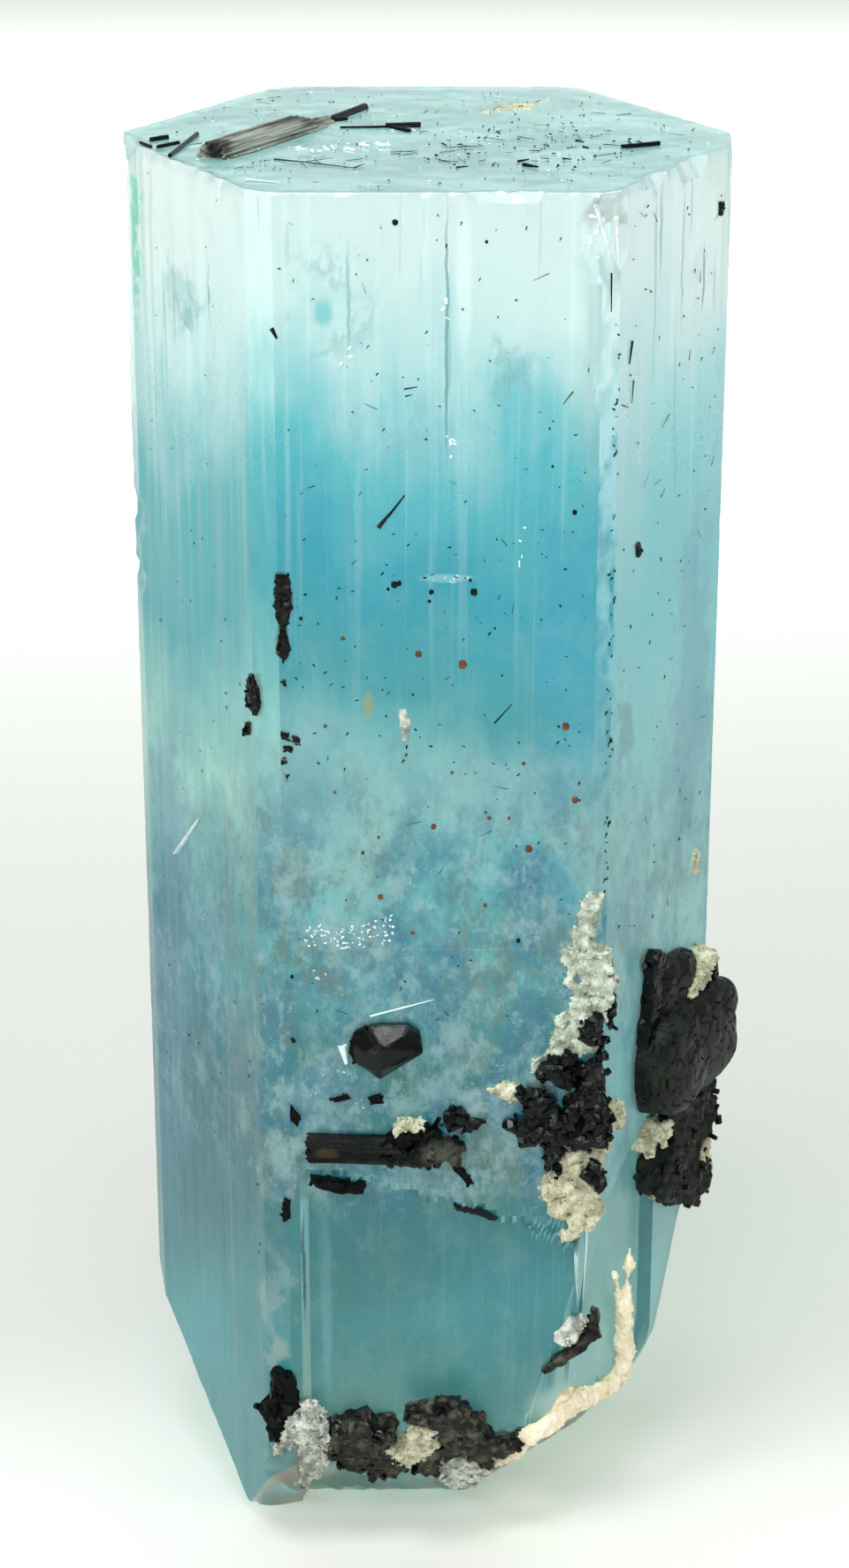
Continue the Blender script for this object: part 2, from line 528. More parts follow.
def aquamarine_material():
    """Clear to milky beryl. Its zones, patches, clouds and veils are drawn on its surface, and the
    light that passes through it takes up more blue with depth."""
    material, tree, shader, place = new_material("aquamarine")
    height = wire(tree, "ShaderNodeSeparateXYZ", {"Vector": place}, "Z")
    colour, frontal = zone_colour(tree, place, height)
    group = patch_group()
    colour = patched(tree, colour, ragged_place(tree, place, 600, 4.5), PATCHES, group)
    colour = patched(tree, colour, ragged_place(tree, place, 1100, 0.22), FINE_PATCHES, group)

    low_half = mapped(tree, height, 33 * MM, 25 * MM)
    over_ledge = times(tree, low_half, mapped(tree, height, 12.6 * MM, 14.6 * MM, 0.10))
    over_ledge = times(tree, over_ledge, frontal)
    clouds = stretched_noise(tree, place, (620, 620, 470), 9.0, 0.74)
    blots = stretched_noise(tree, place, (360, 360, 250), 7.0, 0.70)
    smudges = stretched_noise(tree, place, (420, 420, 210), 9.0, 0.78)
    flecks = stretched_noise(tree, place, (1700, 1700, 1200), 6.0, 0.75)
    winding = stretched_noise(tree, place, (620, 620, 330), 4.0, 0.58)
    off_middle = math_node(tree, "ABSOLUTE", math_node(tree, "SUBTRACT", winding, 0.5))
    black = (0.0, 0.0, 0.0, 1.0)
    wispy = patched(tree, black, ragged_place(tree, place, 600, 1.0), WISPS, group)
    lines = stretched_noise(tree, place, (3200, 3200, 60), 3.0, 0.6)
    cracks = stretched_noise(tree, place, (1900, 1900, 110), 2.0, 0.5)
    top_half = mapped(tree, height, 30 * MM, 43 * MM, 0.15, 1.0)
    milky_where = mapped(tree, over_ledge, 0, 1, 0.10, 0.72)
    overlays = (  # mask, where it counts, strength and colour
        (mapped(tree, blots, 0.58, 0.40), over_ledge, 0.85, srgb(24, 114, 148)),  # deeper blue
        (mapped(tree, smudges, 0.51, 0.62), over_ledge, 0.80, srgb(104, 118, 100)),  # brown smudges
        (mapped(tree, clouds, 0.47, 0.66), milky_where, 1.0, srgb(186, 214, 214)),  # milky clouds
        (mapped(tree, flecks, 0.54, 0.62), over_ledge, 0.42, srgb(198, 226, 226)),  # pale flecks
        (mapped(tree, flecks, 0.46, 0.38), over_ledge, 0.42, srgb(62, 112, 122)),  # dark flecks
        (mapped(tree, off_middle, 0.055, 0.0), wispy, 0.6, srgb(120, 160, 166)),  # winding veils
        (mapped(tree, lines, 0.54, 0.66), top_half, 0.26, srgb(232, 248, 246)),  # growth lines
        (mapped(tree, cracks, 0.66, 0.72), top_half, 0.5, srgb(110, 160, 166)),  # dark lines
    )
    for mask, where, strength, tint in overlays:
        amount = times(tree, times(tree, mask, where), strength)
        colour = mix_colour(tree, amount, colour, tint)
    tree.links.new(colour, shader.inputs["Base Color"])

    haze = mapped(tree, height, 45 * MM, 34 * MM, 0.14, 0.38)
    frosted = math_node(tree, "ADD", haze, mapped(tree, clouds, 0.35, 0.7, -0.04, 0.14))
    tree.links.new(frosted, shader.inputs["Roughness"])
    grain = stretched_noise(tree, place, (2600, 2600, 700), 5.0, 0.7)
    relief = math_node(tree, "ADD", lines, times(tree, grain, 0.12))
    bump = wire(tree, "ShaderNodeBump", {"Height": relief, "Strength": 0.20, "Distance": 0.04 * MM})
    tree.links.new(bump, shader.inputs["Normal"])
    shader.inputs["Transmission Weight"].default_value = BERYL_TRANSMISSION
    shader.inputs["IOR"].default_value = BERYL_IOR
    shader.inputs["Coat Weight"].default_value = 0.15
    shader.inputs["Coat Roughness"].default_value = 0.08
    inputs = {"Color": ABSORPTION_COLOUR, "Density": ABSORPTION_DENSITY}
    absorb = wire(tree, "ShaderNodeVolumeAbsorption", inputs)
    output = tree.nodes["Material Output"]
    tree.links.new(absorb, output.inputs["Volume"])
    in_shadow = wire(tree, "ShaderNodeLightPath", output="Is Shadow Ray")
    clear = wire(tree, "ShaderNodeBsdfTransparent", {"Color": srgb(246, 244, 232)})
    inputs = {0: times(tree, in_shadow, SHADOW_LIGHT), 1: shader.outputs[0], 2: clear}
    tree.links.new(wire(tree, "ShaderNodeMixShader", inputs), output.inputs["Surface"])
    return material


aquamarine = aquamarine_material()
prism_mesh = crystal_mesh()
shade(prism_mesh, 24)
add_piece("aquamarine_prism", prism_mesh, aquamarine, "aquamarine", "aquamarine_crystal")


# The schorl prism in the top face, with the longer needles round it. Black tourmaline, striated
# along its length, a little dusty on its faces and glassy on its broken end, grown into the beryl.


ROD_COLUMNS = 72  # points round a rod


def striated_rod(start, end, across, deep, ridges=0.05, seed=1, lean=(0, 0, 1), taper=0.0, rings=44):
    """One tourmaline prism as points and faces: six rounded sides with grooves along their length,
    and uneven broken ends. Its width lies square to the lean direction, all in mm."""
    columns = ROD_COLUMNS
    start, end = Vector(start), Vector(end)
    axis = (end - start).normalized()
    side = axis.cross(Vector(lean)).normalized()
    up = side.cross(axis)
    rng = np.random.default_rng(seed)
    turn = np.linspace(0, 2 * np.pi, columns, endpoint=False)
    radius = math.cos(math.pi / 6) / np.cos(turn % (math.pi / 3) - math.pi / 6)
    grooves = rng.uniform(-1, 1, columns)
    grooves = (grooves + 0.6 * np.roll(grooves, 1)) * ridges
    points, faces = [], []
    insets = [0.0, 0.55, 0.9] + [1.0] * (rings - 6) + [0.9, 0.55, 0.0]
    for ring, inset in enumerate(insets):
        at_start, at_end = ring < 3, ring >= rings - 3
        share = 0.0 if at_start else 1.0 if at_end else (ring - 3) / (rings - 7)
        waver = np.array([noise.noise(Vector((math.cos(a) * 1.5, math.sin(a) * 1.5, share * 4 + seed)))
                          for a in turn])
        reach = (radius * (1 + 0.05 * waver) + grooves) * (1 - taper * share) * inset
        slide = np.zeros(columns)
        if at_start or at_end or ring in (3, rings - 4):
            rough = np.array([noise.noise(Vector((math.cos(a) * inset * 3, math.sin(a) * inset * 3,
                                                  seed * 3.1 + share))) for a in turn])
            slide = rough * 0.28 * across
        for k in range(columns):
            along = (end - start).length * share + slide[k]
            points.append(start + axis * along + side * (math.cos(turn[k]) * reach[k] * across / 2)
                          + up * (math.sin(turn[k]) * reach[k] * deep / 2))
    for ring in range(rings - 1):
        for k in range(columns):
            a, b = ring * columns + k, ring * columns + (k + 1) % columns
            faces.append((a, b, b + columns, a + columns))
    return points, faces


def joined_mesh(name, parts):
    """One mesh in metres from several (points in mm, faces) parts."""
    points, faces = [], []
    for part_points, part_faces in parts:
        first = len(points)
        points += [Vector(p) * MM for p in part_points]
        faces += [tuple(first + i for i in face) for face in part_faces]
    mesh = bpy.data.meshes.new(name)
    mesh.from_pydata(points, [], faces)
    bm = bmesh.new()
    bm.from_mesh(mesh)
    bmesh.ops.remove_doubles(bm, verts=bm.verts, dist=0.001 * MM)
    bmesh.ops.recalc_face_normals(bm, faces=bm.faces)
    bm.to_mesh(mesh)
    bm.free()
    return mesh


def add_solid(name, parts, sharp_degrees, material, slot_name, *nodes):
    """A piece made of (points in mm, faces) parts."""
    mesh = joined_mesh(name, parts)
    shade(mesh, sharp_degrees)
    add_piece(name, mesh, material, slot_name, *nodes)


def schorl_material(name, black, dusty, dust_from, roughness, patches=(), turn=0.0, streak=1500,
                    gloss=0.28):
    """Black tourmaline: how black it is, the colour of its dust, how much dust, how glossy. Where
    its faces are streaked, the streaks lie turned that far round from the X axis."""
    material, tree, shader, place = new_material(name)
    inputs = {"Vector": place, "Rotation": (0.0, 0.0, -turn)}
    turned = wire(tree, "ShaderNodeMapping", inputs)
    dust = stretched_noise(tree, turned, (streak, 1500, 1500), 5.0, 0.65)
    colour = mix_colour(tree, mapped(tree, dust, dust_from, dust_from + 0.2), black, dusty)
    if patches:
        ragged = ragged_place(tree, place, 1800, 0.5)
        colour = patched(tree, colour, ragged, patches, bpy.data.node_groups["patch"])
    tree.links.new(colour, shader.inputs["Base Color"])
    low, high = roughness
    tree.links.new(mapped(tree, dust, 0.3, 0.7, low, high), shader.inputs["Roughness"])
    grain = stretched_noise(tree, place, (5200, 5200, 5200), 4.0, 0.6)
    bump = wire(tree, "ShaderNodeBump", {"Height": grain, "Strength": 0.4, "Distance": 0.04 * MM})
    tree.links.new(bump, shader.inputs["Normal"])
    shader.inputs["Specular IOR Level"].default_value = gloss
    return material


TOP_SCHORL_PATCHES = (  # like the crystal's patches: its glassy broken end and its dark far end
    ((-6.60, -2.90, 48.8), (0.55, 0.75, 1.0), srgb(18, 19, 17), 0.95),
    ((-4.10, 1.10, 48.8), (0.50, 0.60, 1.0), srgb(40, 42, 38), 0.70),
)
top_schorl = schorl_material("weathered_schorl", srgb(34, 34, 31), srgb(150, 156, 145), 0.38,
                             (0.25, 0.5), TOP_SCHORL_PATCHES, turn=math.radians(58.5), streak=160)
TOP_PRISM = (  # start, end, width, depth and height of the ridges in mm of its three parts
    ((-6.75, -3.10, 48.52), (-4.05, 1.30, 48.56), 1.28, 0.86, 0.075),
    ((-5.20, -1.10, 48.50), (-3.50, 1.75, 48.50), 0.66, 0.62, 0.08),
    ((-4.10, 1.20, 48.50), (-3.20, 2.60, 48.50), 0.44, 0.44, 0.08),
)
rods = [striated_rod(start, end, across, deep, ridges, seed)
        for seed, (start, end, across, deep, ridges) in enumerate(TOP_PRISM, 3)]
add_solid("top_schorl_prism_striated", rods, 30, top_schorl, "schorl", "top_schorl_prism")

black_schorl = schorl_material("black_schorl", srgb(5, 9, 8), srgb(50, 54, 46), 0.56, (0.08, 0.30),
                               gloss=0.20)
TOP_NEEDLES = {  # start, end and width in mm of each longer needle in the top face
    "back": (((-3.10, 2.85, 48.52), (-2.02, 5.03, 48.52), 0.30),
             ((-3.30, 2.60, 48.50), (-2.60, 3.00, 48.50), 0.20)),
    "middle": (((-2.78, 1.47, 48.52), (-1.20, 1.62, 48.52), 0.10),
               ((-1.25, 1.62, 48.52), (-0.15, 1.78, 48.52), 0.26),
               ((-1.05, 1.50, 48.50), (-0.50, 0.90, 48.50), 0.20)),
    "left": (((-8.10, -3.00, 48.50), (-7.44, 0.43, 48.52), 0.15),
             ((-8.91, -0.45, 48.50), (-8.37, -0.01, 48.50), 0.16),
             ((-8.60, -1.60, 48.50), (-7.95, -0.90, 48.50), 0.12),
             ((-9.20, -0.95, 48.50), (-8.80, -1.60, 48.50), 0.12)),
    "right": (((6.35, -1.60, 48.50), (7.60, -1.17, 48.53), 0.16),
              ((6.70, -1.45, 48.50), (6.62, -0.60, 48.50), 0.07)),
}
for place, needles in TOP_NEEDLES.items():
    rods = [striated_rod(start, end, width, width, 0.05, seed, rings=14)
            for seed, (start, end, width) in enumerate(needles, 11)]
    add_solid(f"top_needles_{place}", rods, 40, black_schorl, "schorl", f"top_schorl_needle_{place}")


# The schorl crystal on the front face. A single glassy crystal, steeply faceted, with a crumbled
# left side and a clear cleavage chip of beryl beside it.

FRONT = (Vector((0, -8.6, 0)), Vector((1, 0, 0)), Vector((0, 0, 1)), Vector((0, -1, 0)))
CRYSTAL_BASE = ((-2.40, 19.95), (-1.85, 20.55), (-1.5, 20.62), (-0.55, 20.62), (-0.15, 20.3),
                (-0.05, 19.6), (-1.5, 18.62), (-2.0, 19.0), (-2.35, 19.3))
CRYSTAL_FRONT = ((-2.0, 19.8), (-1.5, 20.35), (-0.75, 20.35), (-0.35, 19.85), (-1.5, 18.95), (-1.9, 19.2))


def hull_mesh(name, points, bevel_mm=0.0):
    """The convex solid round a set of points in mm, with its edges worn round."""
    bm = bmesh.new()
    for point in points:
        bm.verts.new(Vector(point) * MM)
    bmesh.ops.convex_hull(bm, input=bm.verts)
    bmesh.ops.dissolve_limit(bm, angle_limit=math.radians(4), verts=bm.verts, edges=bm.edges)
    if bevel_mm:
        bmesh.ops.bevel(bm, geom=bm.edges, offset=bevel_mm * MM, segments=2, affect="EDGES")
    bmesh.ops.recalc_face_normals(bm, faces=bm.faces)
    mesh = bpy.data.meshes.new(name)
    bm.to_mesh(mesh)
    bm.free()
    return mesh


def on_face(frame_of_face, across, up, out=0.0):
    """A point in mm from its place on a face: along it, up it and out of it."""
    origin, along, upward, outward = frame_of_face
    return origin + along * across + upward * up + outward * out


points = [on_face(FRONT, x, z, -0.5) for x, z in CRYSTAL_BASE]
points += [on_face(FRONT, x, z, 0.30) for x, z in CRYSTAL_BASE]
points += [on_face(FRONT, x, z, 0.62) for x, z in CRYSTAL_FRONT]
points += [on_face(FRONT, -1.35, 20.10, 0.95), on_face(FRONT, -0.75, 19.95, 0.80),
           on_face(FRONT, -1.45, 19.25, 0.90)]
glassy = hull_mesh("front_schorl_faceted", points, 0.03)
shade(glassy, 12)
add_piece("front_schorl_faceted", glassy, black_schorl, "schorl", "front_schorl_crystal")


# Schorl with broken, crumbled surfaces: the rough end of the front rod, the bunch at the front's
# right edge and its satellites. Many small tourmaline crystals, each broken off short.


def slab(outline, frame_of_face, inner, outer):
    """A flat solid with a drawn outline on a face, from inner below it to outer above, in mm."""
    count = len(outline)
    points = [on_face(frame_of_face, a, b, -inner) for a, b in outline]
    points += [on_face(frame_of_face, a, b, outer) for a, b in outline]
    ring = [(i, (i + 1) % count, count + (i + 1) % count, count + i) for i in range(count)]
    return points, [tuple(range(count)), tuple(range(2 * count - 1, count - 1, -1)), *ring]


def modified(mesh, kind, inputs=None, **settings):
    """The mesh as one modifier leaves it."""
    obj = bpy.data.objects.new("work", mesh)
    bpy.context.scene.collection.objects.link(obj)
    modifier = obj.modifiers.new(kind, kind)
    for name, value in settings.items():
        setattr(modifier, name, value)
    for identifier, value in (inputs or {}).items():
        modifier[identifier] = value
    graph = bpy.context.evaluated_depsgraph_get()
    result = bpy.data.meshes.new_from_object(obj.evaluated_get(graph))
    bpy.data.objects.remove(obj)
    return result


def fused_mesh(mesh, voxel_mm):
    """The parts of a mesh grown together in one skin of even cells."""
    return modified(mesh, "REMESH", mode="VOXEL", voxel_size=voxel_mm * MM)


def roughened(mesh, steps, cracks_mm=0.0):
    """Pushes the points of a mesh in and out: steps of (size in mm, amount in mm) of blocky
    breakage, and fine cracks."""
    count = len(mesh.vertices)
    points, normals = np.empty(count * 3), np.empty(count * 3)
    mesh.vertices.foreach_get("co", points)
    mesh.vertex_normals.foreach_get("vector", normals)
    points, normals = points.reshape(-1, 3) / MM, normals.reshape(-1, 3)
    push = np.zeros(count)
    for i, (size, amount) in enumerate(steps):
        cells = np.array([noise.voronoi(Vector(p) / size + Vector((i * 5.3, 0, 0)),
                                        distance_metric="CHEBYCHEV")[0][0] for p in points])
        push += (0.45 - cells) * amount * 2
    if cracks_mm:
        ridge = np.abs(value_noise(points, 0.5, 8))
        push -= cracks_mm * (1 - smooth_step(ridge, 0.0, 0.08))
    mesh.vertices.foreach_set("co", ((points + normals * push[:, None]) * MM).ravel())
    mesh.update()
    return mesh


def random_vector(tree, low, high, seed):
    inputs = {0: low, 1: high, "Seed": seed}
    return wire(tree, "FunctionNodeRandomValue", inputs, 0, data_type="FLOAT_VECTOR")


def growth_tree(name, turns, sizes, sides=0, narrowing=1.0, keeps_ground=True):
    """Geometry Nodes: small pieces at random over a surface, each turned and sized its own way
    between two limits. They are tapered prisms with that many sides, or else round grains. The
    surface itself stays or goes."""
    tree = bpy.data.node_groups.new(name, "GeometryNodeTree")
    sockets = {"Geometry": "Geometry", "Width": "Float", "Length": "Float", "Density": "Float",
               "Seed": "Int", "Material": "Material"}
    for label, kind in sockets.items():
        tree.interface.new_socket(label, in_out="INPUT", socket_type=f"NodeSocket{kind}")
    tree.interface.new_socket("Geometry", in_out="OUTPUT", socket_type="NodeSocketGeometry")
    given = tree.nodes.new("NodeGroupInput").outputs
    inputs = {"Mesh": given["Geometry"], "Density": given["Density"], "Seed": given["Seed"]}
    points = wire(tree, "GeometryNodeDistributePointsOnFaces", inputs, "Points")
    turn = random_vector(tree, *turns, given["Seed"])
    if sides:
        inputs = {"Rotation": points.node.outputs["Rotation"], "Rotate By": turn}
        turn = wire(tree, "FunctionNodeRotateRotation", inputs, rotation_space="LOCAL")
        inputs = {"Vertices": sides, "Radius Top": times(tree, given["Width"], narrowing),
                  "Radius Bottom": given["Width"], "Depth": given["Length"]}
        piece = wire(tree, "GeometryNodeMeshCone", inputs, "Mesh")
    else:
        inputs = {"Radius": given["Width"], "Subdivisions": 1}
        piece = wire(tree, "GeometryNodeMeshIcoSphere", inputs, "Mesh")
    size = random_vector(tree, *sizes, given["Seed"])
    inputs = {"Points": points, "Instance": piece, "Rotation": turn, "Scale": size}
    grown = wire(tree, "GeometryNodeInstanceOnPoints", inputs)
    if keeps_ground:
        joined = tree.nodes.new("GeometryNodeJoinGeometry")
        tree.links.new(given["Geometry"], joined.inputs[0])
        tree.links.new(grown, joined.inputs[0])
        grown = joined.outputs[0]
    real = wire(tree, "GeometryNodeRealizeInstances", {"Geometry": grown})
    real = wire(tree, "GeometryNodeSetMaterial", {"Geometry": real, "Material": given["Material"]})
    tree.links.new(real, tree.nodes.new("NodeGroupOutput").inputs["Geometry"])
    return tree


def grown_over(mesh, tree, **values):
    """The mesh with what a Geometry Nodes tree grows over it, from values for its named inputs."""
    inputs = {item.identifier: values[item.name] for item in tree.interface.items_tree
              if item.in_out == "INPUT" and item.name in values}
    return modified(mesh, "NODES", inputs, node_group=tree)


shards = growth_tree("shards", ((-1.5, -1.5, 0.0), (1.5, 1.5, 6.3)), ((0.4, 0.4, 0.4), (1.1, 1.1, 1.1)),
                     sides=6, narrowing=0.85)


def crumbled_schorl(name, parts, material, *nodes, voxel=0.075, steps=((0.60, 0.24), (0.25, 0.09)),
                    width=0.18, length=0.22, density=1.6, seed=1, facets=0.14):
    """A mass of schorl: solid parts grown together and broken up, with only that share of its faces
    left, so that it has flat facets, and with small crystals standing out."""
    mesh = roughened(fused_mesh(joined_mesh(name, parts), voxel), steps)
    flat_faceted = modified(mesh, "DECIMATE", ratio=facets)
    mesh = grown_over(flat_faceted, shards, Width=width * MM, Length=length * MM,
                      Density=density / MM**2, Seed=seed, Material=material)
    shade(mesh, 8)
    add_piece(name, mesh, material, "schorl", *nodes)


ROD_PATCHES = (
    ((0.6, -9.0, 15.9), (0.9, 1.0, 0.6), srgb(100, 104, 92), 0.5),  # dusty broken end
    ((-1.8, -9.0, 15.32), (3.0, 0.5, 0.26), srgb(50, 52, 44), 0.70),  # its lower side
    ((-3.3, -9.1, 15.9), (0.5, 0.5, 0.25), srgb(70, 56, 34), 0.7),  # brown stain
)
rod_schorl = schorl_material("rod_schorl", srgb(4, 7, 6), srgb(34, 38, 31), 0.60, (0.18, 0.45),
                             ROD_PATCHES, gloss=0.09)
rod = striated_rod((-3.85, -8.62, 15.98), (0.2, -8.62, 15.84), 1.16, 1.10, 0.015, 5, lean=(0, -1, 0.7))
add_solid("front_schorl_rod_clean", [rod], 30, rod_schorl, "schorl", "front_schorl_rod")
ROUGH_END = ((-1.4, 16.3), (-0.7, 16.7), (0.4, 16.6), (1.2, 16.1), (1.3, 15.8), (1.0, 15.5), (0.1, 15.3),
             (-0.9, 15.4), (-1.6, 15.8))
crumbled_schorl("front_rod_broken_end", [slab(ROUGH_END, FRONT, 0.3, 0.45)], rod_schorl,
                width=0.16, length=0.34, density=4.0, seed=4)
LOWER_ROD = ((-3.95, 14.75), (-3.1, 14.6), (-2.0, 14.55), (-2.1, 14.1), (-3.0, 14.15), (-3.6, 14.3))
crumbled_schorl("lower_rod_worn", [slab(LOWER_ROD, FRONT, 0.4, 0.05)], rod_schorl,
                "lower_schorl_rod", width=0.10, length=0.24, seed=6, steps=((0.4, 0.08),))
WEDGE = ((0.6, 17.0), (1.0, 17.4), (1.2, 17.5), (1.4, 17.1), (2.1, 16.95), (1.6, 16.55), (0.7, 16.6))
crumbled_schorl("front_wedge_broken", [slab(WEDGE, FRONT, 0.3, 0.25)], black_schorl,
                "front_schorl_wedge", width=0.12, length=0.24, density=3.0, seed=7)
SPLINTER = ((1.0, 13.65), (1.8, 13.5), (2.5, 13.15), (2.4, 13.0), (1.8, 13.3), (1.1, 13.45))
crumbled_schorl("ledge_splinter_broken", [slab(SPLINTER, FRONT, 0.5, 0.0)], black_schorl,
                "ledge_schorl_splinter", voxel=0.05, width=0.06, length=0.12, seed=8, steps=((0.4, 0.06),))
BUNCH = (  # outline on the front face and how far out each part stands, in mm
    (((3.7, 18.8), (4.2, 19.5), (4.8, 19.5), (5.2, 19.1), (5.0, 18.3), (4.8, 18.1), (4.4, 18.5)), 0.35),
    (((5.3, 19.0), (6.0, 19.8), (5.9, 17.9), (6.2, 16.9), (6.2, 16.2), (5.1, 16.1), (4.4, 16.3),
      (4.4, 16.9), (4.8, 17.7), (5.2, 18.2)), 0.55),
    (((3.1, 18.0), (3.5, 18.2), (4.4, 18.0), (4.5, 17.3), (4.4, 16.4), (3.9, 16.3), (3.4, 16.2),
      (3.1, 16.6), (2.7, 16.9), (3.3, 17.0), (3.5, 17.4)), 0.50),
    (((4.1, 16.2), (4.5, 16.3), (4.6, 15.8), (4.2, 15.2), (4.0, 15.4)), 0.30),
)
bunch = [slab(outline, FRONT, 0.5, out) for outline, out in BUNCH]
crumbled_schorl("front_bunch_broken", bunch, black_schorl, "front_schorl_cluster",
                width=0.15, length=0.30, density=2.2, seed=9, facets=0.22)
SET_CRYSTAL = ((5.1, 20.4), (5.4, 20.75), (5.8, 20.85), (6.0, 20.3), (5.7, 19.9), (5.2, 20.1))
crumbled_schorl("feldspar_set_crystal", [slab(SET_CRYSTAL, FRONT, 0.3, 0.35)], black_schorl,
                "feldspar_set_schorl", width=0.12, length=0.2, density=3.0, seed=10)
BLADE = ((6.0, 21.0), (6.2, 21.9), (6.4, 21.2), (6.35, 20.3), (6.05, 20.1))
crumbled_schorl("edge_blade_broken", [slab(BLADE, FRONT, 0.75, -0.35)], black_schorl,
                "edge_schorl_blade", width=0.08, length=0.3, density=4.0, seed=11)
PATCH_DOTS = (((5.3, 15.1), (5.9, 15.5), (6.2, 15.0), (5.9, 14.4), (5.6, 14.8)),
              ((4.4, 15.3), (4.75, 15.2), (4.5, 14.9)))
dots = [slab(outline, FRONT, 0.2, 0.50) for outline in PATCH_DOTS]
crumbled_schorl("patch_set_crystals", dots, black_schorl, width=0.10, length=0.2, density=4.0, seed=12)
SMALL_BITS = (((-3.2, 17.75), (-2.6, 17.95), (-2.45, 17.75), (-3.0, 17.6)),
              ((-1.9, 17.8), (-1.5, 17.95), (-1.35, 17.6), (-1.8, 17.55)),
              ((-4.5, 17.5), (-4.15, 17.1), (-4.3, 16.7), (-4.55, 17.0)),
              ((0.85, 15.4), (1.3, 15.1), (1.7, 14.5), (1.45, 14.55), (1.0, 15.0)),
              ((-4.75, 13.9), (-4.55, 13.9), (-4.6, 13.2), (-4.85, 13.0)))
bits = [slab(outline, FRONT, 0.3, 0.06) for outline in SMALL_BITS]
CRYSTAL_CRUMBS = ((-2.55, 19.6), (-2.35, 20.3), (-1.95, 20.55), (-1.85, 19.9), (-2.0, 19.2), (-2.35, 19.25))
bits.append(slab(CRYSTAL_CRUMBS, FRONT, 0.3, 0.30))
crumbled_schorl("front_small_bits", bits, rod_schorl, voxel=0.05, steps=((0.35, 0.07),), width=0.07,
                length=0.14, density=4.0, seed=22)


# The schorl on the right front face. A stout crystal that bulges out past the corner, dark grey and
# rounded with black cracks, a spike and a wedge over it and a crumbled mass under it.

RIGHT = (Vector((6.0, -8.25, 0)), Vector((0.5, 0.866, 0)), Vector((0, 0, 1)), Vector((0.866, -0.5, 0)))


def rounded_block(centre, axes, half_widths, power=0.6, cuts=24):
    """A block with bulging sides and rounded corners, as points and faces, all in mm."""
    bm = bmesh.new()
    bmesh.ops.create_cube(bm, size=2)
    bmesh.ops.subdivide_edges(bm, edges=bm.edges, cuts=cuts, use_grid_fill=True)
    points = []
    for vert in bm.verts:
        ball = vert.co.normalized()
        eased = [math.copysign(abs(c) ** power, c) * half for c, half in zip(ball, half_widths)]
        points.append(Vector(centre) + sum((axis * c for axis, c in zip(axes, eased)), Vector()))
    faces = [tuple(v.index for v in face.verts) for face in bm.faces]
    bm.free()
    return points, faces


RIGHT_SCHORL_PATCHES = (
    ((9.2, -3.2, 18.6), (3.0, 3.0, 0.9), srgb(12, 15, 13), 0.7),  # blacker at its top
    ((9.4, -3.6, 16.4), (2.2, 3.0, 0.8), srgb(56, 60, 53), 0.4),  # greyer below
)
right_schorl = schorl_material("weathered_grey_schorl", srgb(7, 11, 9), srgb(32, 38, 31), 0.46,
                               (0.35, 0.6), RIGHT_SCHORL_PATCHES, gloss=0.22)
stout = rounded_block(on_face(RIGHT, 5.55, 17.4, 0.15), RIGHT[1:], (2.95, 1.95, 1.25), 0.50)
neck = rounded_block(on_face(RIGHT, 4.9, 19.35, -0.1), RIGHT[1:], (1.8, 1.6, 0.75), 0.6)
mass = roughened(fused_mesh(joined_mesh("stout", [stout, neck]), 0.07), ((1.6, 0.16),), 0.08)
shade(mass, 40)
add_piece("right_schorl_stout", mass, right_schorl, "schorl", "right_schorl_cluster")
SPIKE = ((3.3, 21.9), (3.8, 21.4), (3.5, 20.4), (3.8, 19.4), (3.7, 18.4), (3.0, 18.0), (2.5, 18.6),
         (2.9, 20.0), (2.9, 21.4))
TOP_WEDGE = ((7.4, 20.3), (8.0, 19.2), (7.8, 18.0), (6.2, 18.1), (4.3, 18.6), (4.5, 19.4), (5.7, 19.3),
             (6.4, 19.4))
LOWER_MASS = ((4.5, 15.6), (7.9, 15.0), (8.2, 13.2), (7.0, 12.6), (7.7, 11.6), (7.4, 10.9), (6.7, 10.5),
              (5.7, 10.8), (3.7, 12.2), (3.9, 13.3), (4.8, 13.9))
crumbled_schorl("right_schorl_spike", [slab(SPIKE, RIGHT, 0.3, 0.45)], black_schorl,
                width=0.13, length=0.4, density=1.2, seed=13, steps=((0.9, 0.16), (0.3, 0.05)))
crumbled_schorl("right_schorl_wedge", [slab(TOP_WEDGE, RIGHT, 0.4, 0.55)], right_schorl,
                width=0.16, length=0.3, density=1.2, seed=14, steps=((0.9, 0.20), (0.3, 0.06)))
crumbled_schorl("right_schorl_lower", [slab(LOWER_MASS, RIGHT, 0.5, 0.60)], right_schorl,
                width=0.16, length=0.30, density=1.0, seed=15, steps=((0.9, 0.30), (0.3, 0.08)))


# The schorl flakes on the left edge and the left front face, thin and ragged, with a trail of
# crumbs below them.

